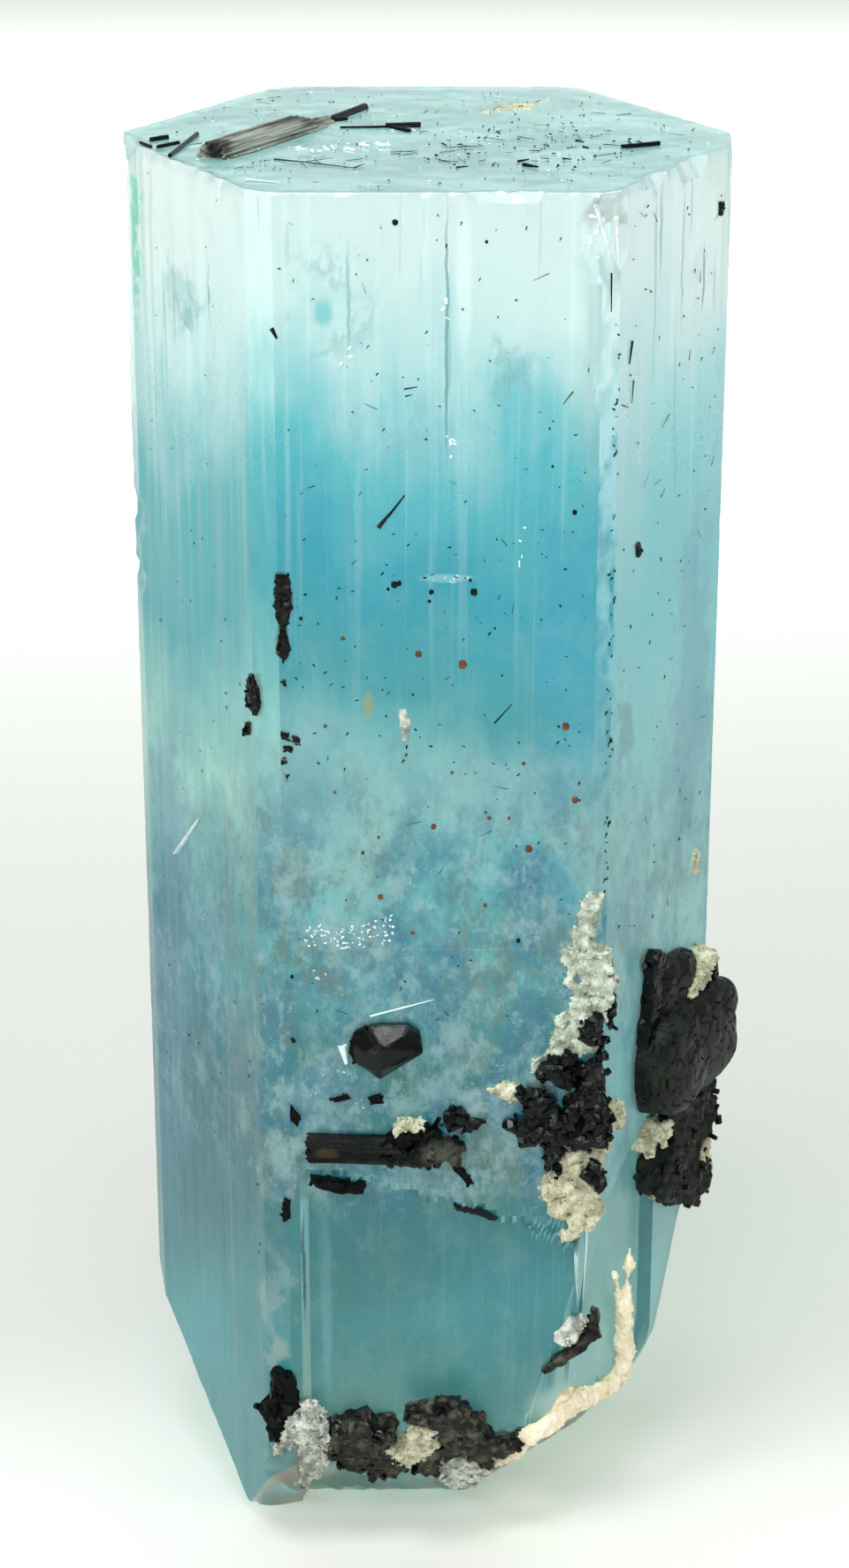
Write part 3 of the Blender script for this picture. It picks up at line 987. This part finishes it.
LEFT = (Vector((-5.5, -8.1, 0)), Vector((-0.5, 0.866, 0)), Vector((0, 0, 1)), Vector((-0.866, -0.5, 0)))
EDGE_FLAKE = ((-4.7, 36.35), (-4.3, 36.35), (-4.2, 35.2), (-4.4, 34.5), (-4.25, 33.8), (-4.5, 33.35),
              (-4.75, 33.8), (-4.6, 34.5), (-4.75, 35.2))
EDGE_CRUMBS = (((-4.6, 32.8), (-4.45, 32.8), (-4.45, 32.6), (-4.6, 32.6)),
               ((-4.62, 30.98), (-4.35, 30.95), (-4.38, 30.68), (-4.62, 30.75)),
               ((-4.25, 30.92), (-3.98, 30.75), (-4.02, 30.50), (-4.28, 30.60)),
               ((-4.52, 30.52), (-4.25, 30.50), (-4.30, 30.26), (-4.55, 30.30)),
               ((-4.66, 30.10), (-4.45, 30.15), (-4.40, 29.92), (-4.62, 29.88)),
               ((-4.55, 29.55), (-4.4, 29.5), (-4.45, 29.3)))
FACE_FLAKE = ((-0.0, 32.8), (0.25, 32.75), (0.6, 32.1), (0.45, 31.6), (-0.05, 31.35), (-0.25, 31.9))
FACE_CRUMB = ((0.75, 30.9), (0.25, 31.1), (0.3, 30.6), (0.6, 30.5))
flakes = [slab(EDGE_FLAKE, FRONT, 0.3, 0.06)] + [slab(crumb, FRONT, 0.15, 0.03) for crumb in EDGE_CRUMBS]
crumbled_schorl("left_edge_flakes", flakes, black_schorl, "left_edge_schorl_flake", voxel=0.05,
                steps=((0.35, 0.07), (0.15, 0.04)), width=0.07, length=0.10, density=6.0, seed=16)
flakes = [slab(FACE_FLAKE, LEFT, 0.3, 0.06), slab(FACE_CRUMB, LEFT, 0.2, 0.04)]
crumbled_schorl("left_face_flakes", flakes, black_schorl, "left_face_schorl_flake", voxel=0.05,
                steps=((0.35, 0.07), (0.15, 0.04)), width=0.07, length=0.10, density=6.0, seed=17)


# The schorl round the broken foot: crumbled black masses between the feldspar crusts.

FOOT = (Vector((0, -8.3, 4.6)), Vector((1, 0, 0)), Vector((0, -0.54, 0.84)).normalized(),
        Vector((0, -0.84, -0.54)).normalized())
FOOT_LEFT = ((-5.3, 7.1), (-4.6, 6.9), (-4.5, 6.1), (-4.1, 5.4), (-4.7, 5.0), (-5.1, 4.2), (-5.5, 4.7),
             (-5.7, 5.5), (-5.3, 6.1))
crumbled_schorl("foot_left_broken", [slab(FOOT_LEFT, FRONT, 0.5, 0.15)], rod_schorl,
                "foot_schorl_left", width=0.14, length=0.2, seed=18)
foot_schorl = schorl_material("brown_schorl", srgb(12, 13, 11), srgb(88, 84, 68), 0.48, (0.2, 0.5))
FOOT_MIDDLE = ((-3.4, 0.0), (-2.6, 0.8), (-2.0, 0.7), (-1.0, 0.1), (-1.3, -1.0), (-0.6, -2.6), (-1.6, -3.4),
               (-2.7, -2.4), (-3.5, -1.2))
crumbled_schorl("foot_middle_broken", [slab(FOOT_MIDDLE, FOOT, 0.4, 0.50)], foot_schorl,
                "foot_schorl_middle", width=0.15, length=0.24, seed=19)
FOOT_RIGHT = ((-0.8, 1.3), (0.1, 1.5), (1.2, 1.7), (2.0, 0.5), (2.5, -0.8), (3.6, -0.7), (3.1, -1.4),
              (2.3, -1.7), (2.4, -2.8), (1.9, -3.1), (1.7, -2.2), (0.8, -1.8), (0.5, -3.0), (-0.4, -3.2),
              (0.0, -1.4), (0.7, -0.8), (0.3, 0.6))
crumbled_schorl("foot_right_broken", [slab(FOOT_RIGHT, FOOT, 0.4, 0.42)], foot_schorl,
                "foot_schorl_right", width=0.15, length=0.24, seed=20)
FOOT_STREAK = ((4.0, 6.78), (4.7, 7.45), (5.3, 7.95), (5.8, 8.55), (5.78, 9.2), (6.05, 9.05), (6.1, 8.35),
               (5.6, 7.75), (4.9, 7.2), (4.3, 6.75))
crumbled_schorl("foot_streak_broken", [slab(FOOT_STREAK, FRONT, 1.0, -0.32)], foot_schorl,
                "foot_schorl_streak", width=0.10, length=0.2, seed=21, steps=((0.5, 0.12), (0.2, 0.05)))


# The feldspar. Cream to white, fine-grained and crumbly, grown over the beryl and round the schorl:
# the streak and the patch by the front bunch, and the small bits on the rods.


def feldspar_material(name, pale, deep, pits):
    """Fine-grained feldspar: its pale grains, the deeper tone between them and its dirty pits."""
    material, tree, shader, place = new_material(name)
    grain = stretched_noise(tree, place, (2400, 2400, 2400), 5.0, 0.65)
    colour = mix_colour(tree, mapped(tree, grain, 0.38, 0.62), deep, pale)
    dirt = stretched_noise(tree, place, (2300, 2300, 2300), 4.0, 0.7)
    colour = mix_colour(tree, times(tree, mapped(tree, dirt, 0.56, 0.66), 0.85), colour, pits)
    tree.links.new(colour, shader.inputs["Base Color"])
    shader.inputs["Roughness"].default_value = 0.72
    bump = wire(tree, "ShaderNodeBump", {"Height": grain, "Strength": 0.7, "Distance": 0.06 * MM})
    tree.links.new(bump, shader.inputs["Normal"])
    return material


grains = growth_tree("grains", ((0.0, 0.0, 0.0), (6.3, 6.3, 6.3)), ((0.4, 0.4, 0.4), (1.2, 1.2, 1.2)))


def feldspar_crust(name, parts, material, *nodes, voxel=0.08, grain=0.085, density=22.0, seed=1,
                   steps=((0.7, 0.24), (0.3, 0.14))):
    """A crust of feldspar: solid parts grown together, broken up and covered with grains."""
    mesh = roughened(fused_mesh(joined_mesh(name, parts), voxel), steps)
    mesh = grown_over(mesh, grains, Width=grain * MM, Density=density / MM**2, Seed=seed,
                      Material=material)
    shade(mesh, 35)
    add_piece(name, mesh, material, "feldspar", *nodes)


cream = feldspar_material("cream_feldspar", srgb(216, 216, 190), srgb(168, 166, 134), srgb(60, 64, 50))
greyer = feldspar_material("streak_feldspar", srgb(206, 217, 201), srgb(150, 160, 142), srgb(56, 62, 52))
STREAK = ((5.4, 25.3), (5.9, 25.3), (5.7, 24.6), (5.4, 23.8), (5.6, 23.4), (6.2, 23.2), (6.3, 22.6),
          (6.0, 22.3), (6.4, 22.1), (6.2, 21.7), (6.0, 20.8), (5.8, 20.5), (5.6, 19.7), (5.2, 19.4),
          (4.7, 19.4), (4.2, 19.2), (3.7, 18.7), (3.6, 19.0), (4.2, 19.8), (4.4, 20.5), (4.8, 21.2),
          (5.1, 21.7), (4.7, 22.1), (4.7, 22.5), (4.6, 23.2), (5.0, 23.9), (5.1, 24.5))
feldspar_crust("feldspar_streak_crust", [slab(STREAK, FRONT, 0.4, 0.06)], greyer, "feldspar_streak", seed=2)
PATCH = ((4.7, 16.1), (6.2, 16.2), (6.1, 15.3), (5.7, 14.5), (5.9, 14.1), (6.0, 13.2), (5.4, 12.7),
         (4.7, 12.3), (4.6, 12.5), (4.9, 12.9), (4.3, 13.5), (4.0, 14.2), (4.0, 14.9), (4.5, 15.2),
         (4.8, 15.7))
feldspar_crust("feldspar_patch_crust", [slab(PATCH, FRONT, 0.6, 0.12)], cream, "feldspar_patch", seed=3)
ROD_BIT = ((-1.1, 16.8), (-0.7, 17.0), (-0.1, 16.85), (-0.15, 16.4), (-0.6, 16.3), (-1.0, 16.4))
feldspar_crust("rod_bit_crust", [slab(ROD_BIT, FRONT, 0.1, 0.42)], cream, "feldspar_bit_rod", seed=4)
WEDGE_BIT = ((2.1, 18.1), (2.6, 18.4), (3.1, 18.3), (3.4, 17.9), (2.9, 17.75), (2.4, 17.85))
feldspar_crust("wedge_bit_crust", [slab(WEDGE_BIT, FRONT, 0.3, 0.08)], cream, "feldspar_bit_wedge", seed=5)
RIGHT_BIT = ((0.1, 17.4), (1.0, 17.1), (1.5, 16.7), (1.4, 16.1), (0.6, 16.1), (0.2, 16.7))
feldspar_crust("right_bit_crust", [slab(RIGHT_BIT, RIGHT, 0.3, 0.15)], cream, "feldspar_bit_right", seed=6)
WEDGE_TOP_BIT = ((7.0, 20.5), (7.4, 20.1), (6.4, 19.4), (5.4, 19.2), (5.1, 19.5), (6.1, 20.0))
RIGHT_SPOTS = (((3.5, 15.0), (4.2, 14.9), (4.4, 14.3), (4.1, 14.0), (3.6, 14.6)),
               ((2.7, 14.4), (3.4, 14.5), (3.2, 14.1)), ((6.8, 12.6), (7.4, 12.7), (7.9, 11.6), (7.0, 11.6)),
               ((4.1, 12.3), (4.7, 12.2), (4.8, 11.8), (4.2, 11.8)))
feldspar_crust("wedge_top_crust", [slab(WEDGE_TOP_BIT, RIGHT, 0.2, 0.75)], cream, "feldspar_bit_ledge",
               seed=7)
spots = [slab(outline, RIGHT, 0.3, 0.55) for outline in RIGHT_SPOTS]
feldspar_crust("right_spots_crust", spots, cream, seed=8)


# The crusts on the broken foot: white feldspar at the left and the middle, and the cream fringe that
# runs round the foot's right rim and up in two thin streaks.

white = feldspar_material("white_feldspar", srgb(216, 219, 210), srgb(136, 142, 130), srgb(34, 38, 32))
FOOT_WHITE = ((-4.7, 1.0), (-4.1, 1.3), (-3.4, 0.3), (-3.4, -2.0), (-4.0, -3.4), (-4.6, -4.2), (-5.0, -3.4),
              (-5.6, -2.1), (-5.2, -0.6))
feldspar_crust("foot_white_crust", [slab(FOOT_WHITE, FOOT, 0.5, 0.50)], white, "foot_feldspar_left",
               seed=9, steps=((0.8, 0.22), (0.3, 0.10)))
FOOT_CREAM = ((-1.5, -0.6), (-0.8, -1.2), (-0.2, 0.9), (0.4, 0.7), (0.5, -0.5), (-0.2, -1.8), (-0.7, -2.4))
feldspar_crust("foot_cream_crust", [slab(FOOT_CREAM, FOOT, 0.4, 0.45)], cream, "foot_feldspar_middle",
               seed=10)
FOOT_LOW = ((0.7, -2.0), (1.5, -1.6), (2.1, -2.5), (1.9, -3.5), (1.1, -3.9), (0.6, -3.3))
feldspar_crust("foot_low_crust", [slab(FOOT_LOW, FOOT, 0.4, 0.60)], white, "foot_feldspar_low", seed=11,
               steps=((0.7, 0.2), (0.3, 0.08)))
STREAK_WHITE = ((4.5, 8.1), (4.9, 8.6), (5.5, 8.9), (5.6, 8.5), (4.9, 7.85))
feldspar_crust("streak_white_crust", [slab(STREAK_WHITE, FRONT, 0.9, -0.36)], white, seed=12)
RIM = (  # place and half width of the fringe along the rim of the foot, in mm
    ((6.80, -6.65, 9.5), 0.08), ((6.98, -6.22, 8.6), 0.17), ((7.05, -6.00, 7.9), 0.28),
    ((7.16, -5.60, 6.9), 0.36), ((7.16, -5.24, 5.4), 0.40), ((6.96, -5.22, 4.75), 0.42),
    ((6.22, -5.90, 4.60), 0.36), ((5.29, -6.88, 4.74), 0.50), ((4.54, -7.55, 4.44), 0.48),
    ((3.93, -8.00, 4.20), 0.42), ((3.34, -7.50, 3.30), 0.34), ((2.70, -6.82, 2.25), 0.20),
    ((2.10, -6.20, 1.40), 0.10),
)
RIM_STREAKS = (  # the thin streaks that run up from it: ends and width in mm
    ((6.98, -6.25, 8.2), (6.62, -6.95, 10.2), 0.30),
    ((7.10, -6.15, 8.0), (7.20, -6.50, 10.8), 0.34),
    ((5.15, -7.00, 5.5), (3.80, -7.95, 4.25), 0.30),
)
UPRIGHT = (Vector((1, 0, 0)), Vector((0, 1, 0)), Vector((0, 0, 1)))
BALL_SHARES = (0.8, 0.7, 0.8)  # half widths of a ball of the fringe, in shares of the fringe's
balls = []
for (place, half), (next_place, next_half) in zip(RIM, RIM[1:]):
    for share in (0.0, 0.25, 0.5, 0.75):
        centre = Vector(place).lerp(Vector(next_place), share)
        radius = half * (1 - share) + next_half * share
        balls.append(rounded_block(centre, UPRIGHT, [radius * part for part in BALL_SHARES], 1.0, 5))
balls += [striated_rod(start, end, across, across, 0.03, seed, taper=0.7, rings=16)
          for seed, (start, end, across) in enumerate(RIM_STREAKS, 71)]
rim_cream = feldspar_material("rim_feldspar", srgb(252, 244, 222), srgb(240, 224, 188), srgb(206, 188, 148))
feldspar_crust("foot_rim_crust", balls, rim_cream, "foot_feldspar_rim", seed=13,
               voxel=0.06, grain=0.06, steps=((0.9, 0.20), (0.35, 0.08)), density=20.0)


# The fine needles and specks. Hair-thin schorl and dark grains strewn in the top face and the faces,
# most of them in the right half of the top and above the middle of the crystal.


# Thin tapered needles that lie flat on a surface, each turned its own way.
strewn = growth_tree("strewn", ((1.47, 0.0, 0.0), (1.67, 0.0, 6.3)), ((0.5, 0.5, 0.2), (1.3, 1.3, 1.6)),
                     sides=5, narrowing=0.5, keeps_ground=False)


STREWN_HEIGHT_MM = 0.01  # over the face


def strew(name, rows, first_seed, material, slot_name):
    """One piece for each row of face, region on it, width, length and how many in a square mm."""
    for number, (face, region, width, length, density) in enumerate(rows, 1):
        flat = bpy.data.meshes.new("region")
        corners = [on_face(face, a, b, STREWN_HEIGHT_MM) * MM for a, b in region]
        flat.from_pydata(corners, [], [tuple(range(len(region)))])
        mesh = grown_over(flat, strewn, Width=width * MM, Length=length * MM,
                          Density=density / MM**2, Seed=first_seed + number, Material=material)
        add_piece(f"{name}_{number}", mesh, material, slot_name)


TOP = (Vector((0, 0, 48.5)), Vector((1, 0, 0)), Vector((0, 1, 0)), Vector((0, 0, 1)))
TOP_ALL = ((-5.0, -7.9), (5.1, -7.9), (9.3, -1.2), (9.4, 0.6), (5.0, 8.4), (-4.9, 8.4), (-9.3, 0.8),
           (-9.0, -0.9))
TOP_RIGHT = ((-0.5, -4.5), (5.2, -5.0), (7.6, -1.0), (5.5, 3.2), (0.5, 1.2))
TOP_LEFT = ((-6.0, -5.2), (-1.6, -5.6), (-0.6, -2.2), (-3.0, -1.6), (-5.6, -3.4))
FRONT_UPPER = ((-4.4, 20.5), (5.3, 20.5), (5.3, 47.8), (-4.4, 47.8))
FRONT_MIDDLE = ((-4.2, 29.5), (5.2, 28.5), (5.2, 38.0), (-4.2, 38.0))
RIGHT_UPPER = ((0.3, 22.5), (7.4, 22.5), (7.4, 47.8), (0.3, 47.8))
LEFT_UPPER = ((0.3, 8.5), (7.4, 12.0), (7.4, 47.8), (0.3, 47.8))
RIGHT_STRIP = ((-0.3, 25.0), (0.15, 25.0), (0.15, 44.5), (-0.3, 44.5))
STREWN = (  # face, region on it, width and length in mm, how many in a square millimetre
    (TOP, TOP_ALL, 0.012, 0.40, 0.22), (TOP, TOP_RIGHT, 0.018, 0.60, 0.5), (TOP, TOP_RIGHT, 0.034, 0.26, 0.3),
    (TOP, TOP_LEFT, 0.014, 0.70, 0.6), (TOP, TOP_ALL, 0.022, 0.06, 0.6), (TOP, TOP_RIGHT, 0.030, 0.08, 1.4),
    (FRONT, FRONT_UPPER, 0.026, 0.08, 0.45), (FRONT, FRONT_MIDDLE, 0.032, 0.09, 0.9),
    (FRONT, FRONT_UPPER, 0.014, 0.40, 0.08), (RIGHT, RIGHT_UPPER, 0.026, 0.09, 0.40),
    (RIGHT, RIGHT_UPPER, 0.014, 0.45, 0.10), (LEFT, LEFT_UPPER, 0.022, 0.08, 0.25),
    (RIGHT, RIGHT_STRIP, 0.036, 0.12, 6.0),
)
strew("strewn_needles", STREWN, 0, black_schorl, "schorl")

LONE_NEEDLES = (  # face, the two ends on it and the width, in mm
    (FRONT, (-1.45, 37.9), (-1.05, 38.4), 0.16),
    (FRONT, (-1.15, 38.25), (-0.62, 38.95), 0.10),
    (FRONT, (2.25, 31.3), (2.80, 31.95), 0.06),
    (FRONT, (-0.63, 42.38), (-0.22, 42.45), 0.06),
    (FRONT, (-0.60, 42.15), (-0.38, 42.20), 0.05),
    (FRONT, (4.60, 42.3), (4.30, 41.9), 0.05),
    (RIGHT, (0.95, 43.6), (0.78, 42.9), 0.09),
    (RIGHT, (1.10, 42.3), (1.02, 41.6), 0.05),
    (RIGHT, (0.30, 41.7), (0.80, 41.5), 0.05),
    (FRONT, (5.72, 46.0, -0.12), (5.74, 44.8, -0.12), 0.07),
    (FRONT, (-4.7, 44.3), (-4.55, 44.0), 0.16),
    (TOP, (-4.76, -3.56), (-3.60, -4.10), 0.06),
    (TOP, (-3.60, -4.10), (-2.21, -4.92), 0.04),
    (TOP, (-2.21, -4.92), (-1.90, -4.30), 0.05),
    (TOP, (1.00, -4.90), (1.35, -4.70), 0.10),
    (TOP, (3.10, -4.40), (3.55, -4.75), 0.13),
    (TOP, (2.95, -3.90), (3.30, -3.60), 0.09),
)
rods = [striated_rod(on_face(face, *start), on_face(face, *end), width, width, 0.03, seed, taper=0.5,
                     rings=10)
        for seed, (face, start, end, width) in enumerate(LONE_NEEDLES, 31)]
add_solid("lone_needles", rods, 40, black_schorl, "schorl")

right_dots = (((1.6, 36.75), (1.85, 36.8), (1.9, 36.4), (1.65, 36.3)),
              ((7.0, 46.85), (7.35, 46.8), (7.3, 46.35), (7.0, 46.4)))
crumbled_schorl("right_face_crumbs", [slab(dot, RIGHT, 0.15, 0.04) for dot in right_dots], black_schorl,
                voxel=0.04, steps=((0.3, 0.05),), width=0.05, length=0.08, density=6.0, seed=22)


# The small stains and flakes. Rusty and brown grains, a white flake and an ochre one on the front,
# white cleavage flakes along the growth seam, in the corner chip and in the patch of sparkles.

rust = schorl_material("rust", srgb(84, 52, 28), srgb(138, 92, 46), 0.45, (0.5, 0.7))
RUSTY_GRAINS = (  # place on the front face and half width, in mm
    (1.22, 33.31, 0.13), (4.55, 31.19, 0.12), (-0.20, 33.67, 0.10), (4.88, 28.63, 0.10), (0.29, 27.70, 0.08),
    (3.41, 26.92, 0.11), (2.10, 28.01, 0.06), (-1.45, 25.18, 0.09), (-2.02, 26.76, 0.06),
    (-2.59, 34.20, 0.07), (2.75, 28.0, 0.05), (-1.5, 27.3, 0.05), (-2.9, 28.9, 0.05), (0.9, 29.6, 0.05),
    (-0.6, 30.2, 0.05), (3.2, 29.9, 0.05), (-3.2, 31.2, 0.05), (2.0, 24.9, 0.06), (-0.4, 23.9, 0.06),
)
BLACK_GRAINS = ((-0.95, 36.00, 0.11), (-0.80, 36.05, 0.07), (-1.15, 35.85, 0.05), (1.57, 35.75, 0.11),
                (-3.94, 34.86, 0.06), (0.22, 35.75, 0.07), (4.72, 38.4, 0.07), (4.0, 39.9, 0.05),
                (0.15, 35.45, 0.05), (1.45, 36.15, 0.05), (-0.9, 47.6, 0.09), (1.9, 47.0, 0.05),
                (-4.40, 22.3, 0.06), (-4.38, 19.9, 0.07), (-4.42, 20.0, 0.05), (3.1, 23.6, 0.07))


GRAINS = (("rusty_grains", RUSTY_GRAINS, rust), ("black_grains", BLACK_GRAINS, black_schorl))
for name, places, material in GRAINS:
    parts = [rounded_block(on_face(FRONT, a, b), FRONT[1:], (half, half * 1.15, 0.05), 0.8, 4)
             for a, b, half in places]
    mesh = roughened(joined_mesh(name, parts), ((0.15, 0.03),))
    shade(mesh, 30)
    add_piece(name, mesh, material, "schorl")

WHITE_FLAKE = ((-0.85, 31.75), (-0.60, 31.80), (-0.45, 31.3), (-0.55, 30.7), (-0.70, 30.65), (-0.75, 31.1))
feldspar_crust("white_flake_crust", [slab(WHITE_FLAKE, FRONT, 0.15, 0.04)], white, seed=14, voxel=0.05,
               grain=0.06, density=20.0, steps=((0.3, 0.05),))
RIGHT_CREAM = ((6.7, 24.3), (7.2, 24.0), (7.1, 23.2), (6.5, 23.4))
feldspar_crust("right_cream_crust", [slab(RIGHT_CREAM, RIGHT, 0.15, 0.02)], cream, seed=15, voxel=0.06,
               grain=0.06, density=12.0, steps=((0.3, 0.05),))
TOP_CREAM = (((2.3, 4.9), (3.0, 5.6), (3.9, 5.6), (3.6, 5.0), (2.9, 4.7)),
             ((1.8, 4.3), (2.3, 4.6), (2.2, 4.2)))
feldspar_crust("top_cream_crust", [slab(outline, TOP, 0.15, 0.03) for outline in TOP_CREAM], cream, seed=16,
               voxel=0.06, grain=0.06, density=12.0, steps=((0.3, 0.06),))


def flake_material():
    """Thin white flakes of cleaved beryl, some glossier than others."""
    material, tree, shader, place = new_material("cleavage_flakes")
    tone = stretched_noise(tree, place, (2500, 2500, 2500), 3.0)
    tree.links.new(mix_colour(tree, mapped(tree, tone, 0.35, 0.65), srgb(214, 234, 236), srgb(255, 255, 255)),
                   shader.inputs["Base Color"])
    tree.links.new(mapped(tree, tone, 0.3, 0.7, 0.10, 0.35), shader.inputs["Roughness"])
    return material


flake = flake_material()
SPARKLES = (  # face, region, width and length in mm, how many in a square millimetre
    (FRONT, ((-4.0, 24.3), (-2.2, 24.1), (-1.1, 24.6), (-0.8, 23.5), (-2.4, 23.3), (-4.0, 23.4)),
     0.035, 0.07, 34.0),
    (FRONT, ((-3.9, 22.7), (-3.2, 22.6), (-3.2, 21.9), (-3.8, 21.9)), 0.030, 0.06, 12.0),
    (FRONT, ((-4.2, 18.9), (-2.0, 18.8), (-1.9, 17.4), (-4.0, 17.2)), 0.026, 0.06, 3.0),
    (FRONT, ((0.50, 45.6), (0.68, 45.6), (0.68, 44.5), (0.52, 44.6)), 0.05, 0.12, 30.0),
    (FRONT, ((0.72, 41.0), (0.90, 41.0), (0.95, 40.0), (0.78, 40.0)), 0.05, 0.12, 26.0),
    (FRONT, ((-2.75, 44.0), (-2.3, 44.0), (-2.2, 43.0), (-2.6, 43.1)), 0.05, 0.12, 9.0),
    (FRONT, ((5.0, 48.0), (5.4, 48.1), (5.4, 46.0), (4.9, 46.4)), 0.06, 0.16, 6.0),
    (FRONT, ((-0.15, 36.3), (1.5, 36.3), (1.6, 36.1), (-0.1, 36.1)), 0.025, 0.10, 16.0),
    (FRONT, ((2.9, 38.0), (3.2, 38.0), (3.2, 36.7), (2.95, 36.7)), 0.03, 0.14, 12.0),
    (TOP, TOP_ALL, 0.030, 0.08, 0.35),
    (TOP, ((-4.2, -1.9), (-2.2, -0.9), (-0.8, -0.6), (-1.6, -1.6), (-3.6, -2.6)), 0.06, 0.30, 5.0),
)
strew("cleavage_flakes", SPARKLES, 40, flake, "aquamarine")

SLIVERS = (  # start, end, width and depth in mm of the long white slivers
    (on_face(LEFT, 6.1, 24.3, 0.02), on_face(LEFT, 4.3, 26.2, 0.02), 0.30, 0.08),
    (on_face(TOP, -5.50, -6.60), on_face(TOP, -4.47, -7.05), 0.16, 0.05),
    (on_face(FRONT, -1.80, 20.85, 0.02), on_face(FRONT, 0.28, 21.45, 0.02), 0.14, 0.05),
    (on_face(FRONT, -2.75, 19.75, 0.05), on_face(FRONT, -2.62, 19.15, 0.12), 0.30, 0.30),
    (on_face(FRONT, 5.20, 48.10, -0.14), on_face(FRONT, 5.70, 46.50, -0.12), 0.55, 0.14),
    (on_face(FRONT, 5.85, 47.70, -0.24), on_face(FRONT, 5.95, 46.10, -0.22), 0.32, 0.12),
)
rods = [striated_rod(start, end, across, deep, 0.04, seed, taper=0.6, rings=12)
        for seed, (start, end, across, deep) in enumerate(SLIVERS, 61)]
add_solid("white_slivers", rods, 30, flake, "aquamarine")


# The stage: a pale floor that the crystal stands on, soft light and the camera.


def stage_floor():
    """A wide sheet of paper, a little darker just behind the crystal than in front of it and far
    behind it."""
    mesh = bpy.data.meshes.new("floor")
    bm = bmesh.new()
    bmesh.ops.create_grid(bm, x_segments=1, y_segments=1, size=3.0)
    bm.to_mesh(mesh)
    bm.free()
    floor = bpy.data.objects.new("floor", mesh)
    bpy.context.scene.collection.objects.link(floor)
    material, tree, shader, place = new_material("floor")
    depth = wire(tree, "ShaderNodeSeparateXYZ", {"Vector": place}, "Y")
    near = mix_colour(tree, mapped(tree, depth, -10 * MM, 8 * MM), srgb(226, 227, 222),
                      srgb(202, 204, 199))
    paper = mix_colour(tree, mapped(tree, depth, 24 * MM, 130 * MM), near, srgb(230, 233, 229))
    tree.links.new(paper, shader.inputs["Base Color"])
    shader.inputs["Roughness"].default_value = 0.6
    shader.inputs["Specular IOR Level"].default_value = 0.2
    mesh.materials.append(material)


LIGHTS = (  # name, place, point it faces and size in mm, and watts
    ("back_light", (0, 230, 130), (0, 190, 0), (460, 120), 0.62),
    ("sky_card", (0, 330, 215), (0, 0, 40), (620, 180), 0.16),
    ("left_light", (-150, -110, 150), (0, 0, 20), (45, 45), 0.10),
    ("right_light", (150, -110, 150), (0, 0, 20), (45, 45), 0.05),
    ("front_light", (-40, -150, 130), (0, -45, 0), (120, 60), 0.15),
    ("top_light", (-10, -50, 200), (0, -8, 0), (70, 50), 0.16),
)
WORLD_COLOUR = (0.97, 1.0, 0.985, 1.0)
WORLD_STRENGTH = 0.40
CAMERA_PLACE_MM = (0, -110.2, 70.24)
CAMERA_DOWN_DEGREES = 22
LENS_MM = 77.58


def area_light(name, place_mm, aim_mm, size_mm, watts):
    """A soft rectangular light at a place, turned to a point."""
    light = bpy.data.lights.new(name, "AREA")
    light.shape = "RECTANGLE"
    light.size, light.size_y = (side * MM for side in size_mm)
    light.energy = watts
    obj = bpy.data.objects.new(name, light)
    bpy.context.scene.collection.objects.link(obj)
    place, aim = Vector(place_mm) * MM, Vector(aim_mm) * MM
    obj.location = place
    obj.rotation_mode = "QUATERNION"
    obj.rotation_quaternion = (aim - place).to_track_quat("-Z", "Y")


def light_and_camera():
    world = bpy.data.worlds.new("studio")
    world.use_nodes = True
    background = world.node_tree.nodes["Background"]
    background.inputs["Color"].default_value = WORLD_COLOUR
    background.inputs["Strength"].default_value = WORLD_STRENGTH
    scene = bpy.context.scene
    scene.world = world
    for row in LIGHTS:
        area_light(*row)
    bpy.data.objects["back_light"].visible_glossy = False
    scene.view_settings.view_transform = "Standard"
    camera = bpy.data.cameras.new("camera")
    camera.lens = LENS_MM
    camera.clip_start = 0.005
    obj = bpy.data.objects.new("camera", camera)
    scene.collection.objects.link(obj)
    obj.location = Vector(CAMERA_PLACE_MM) * MM
    obj.rotation_euler = (math.radians(90 - CAMERA_DOWN_DEGREES), 0, 0)
    scene.camera = obj


stage_floor()
light_and_camera()
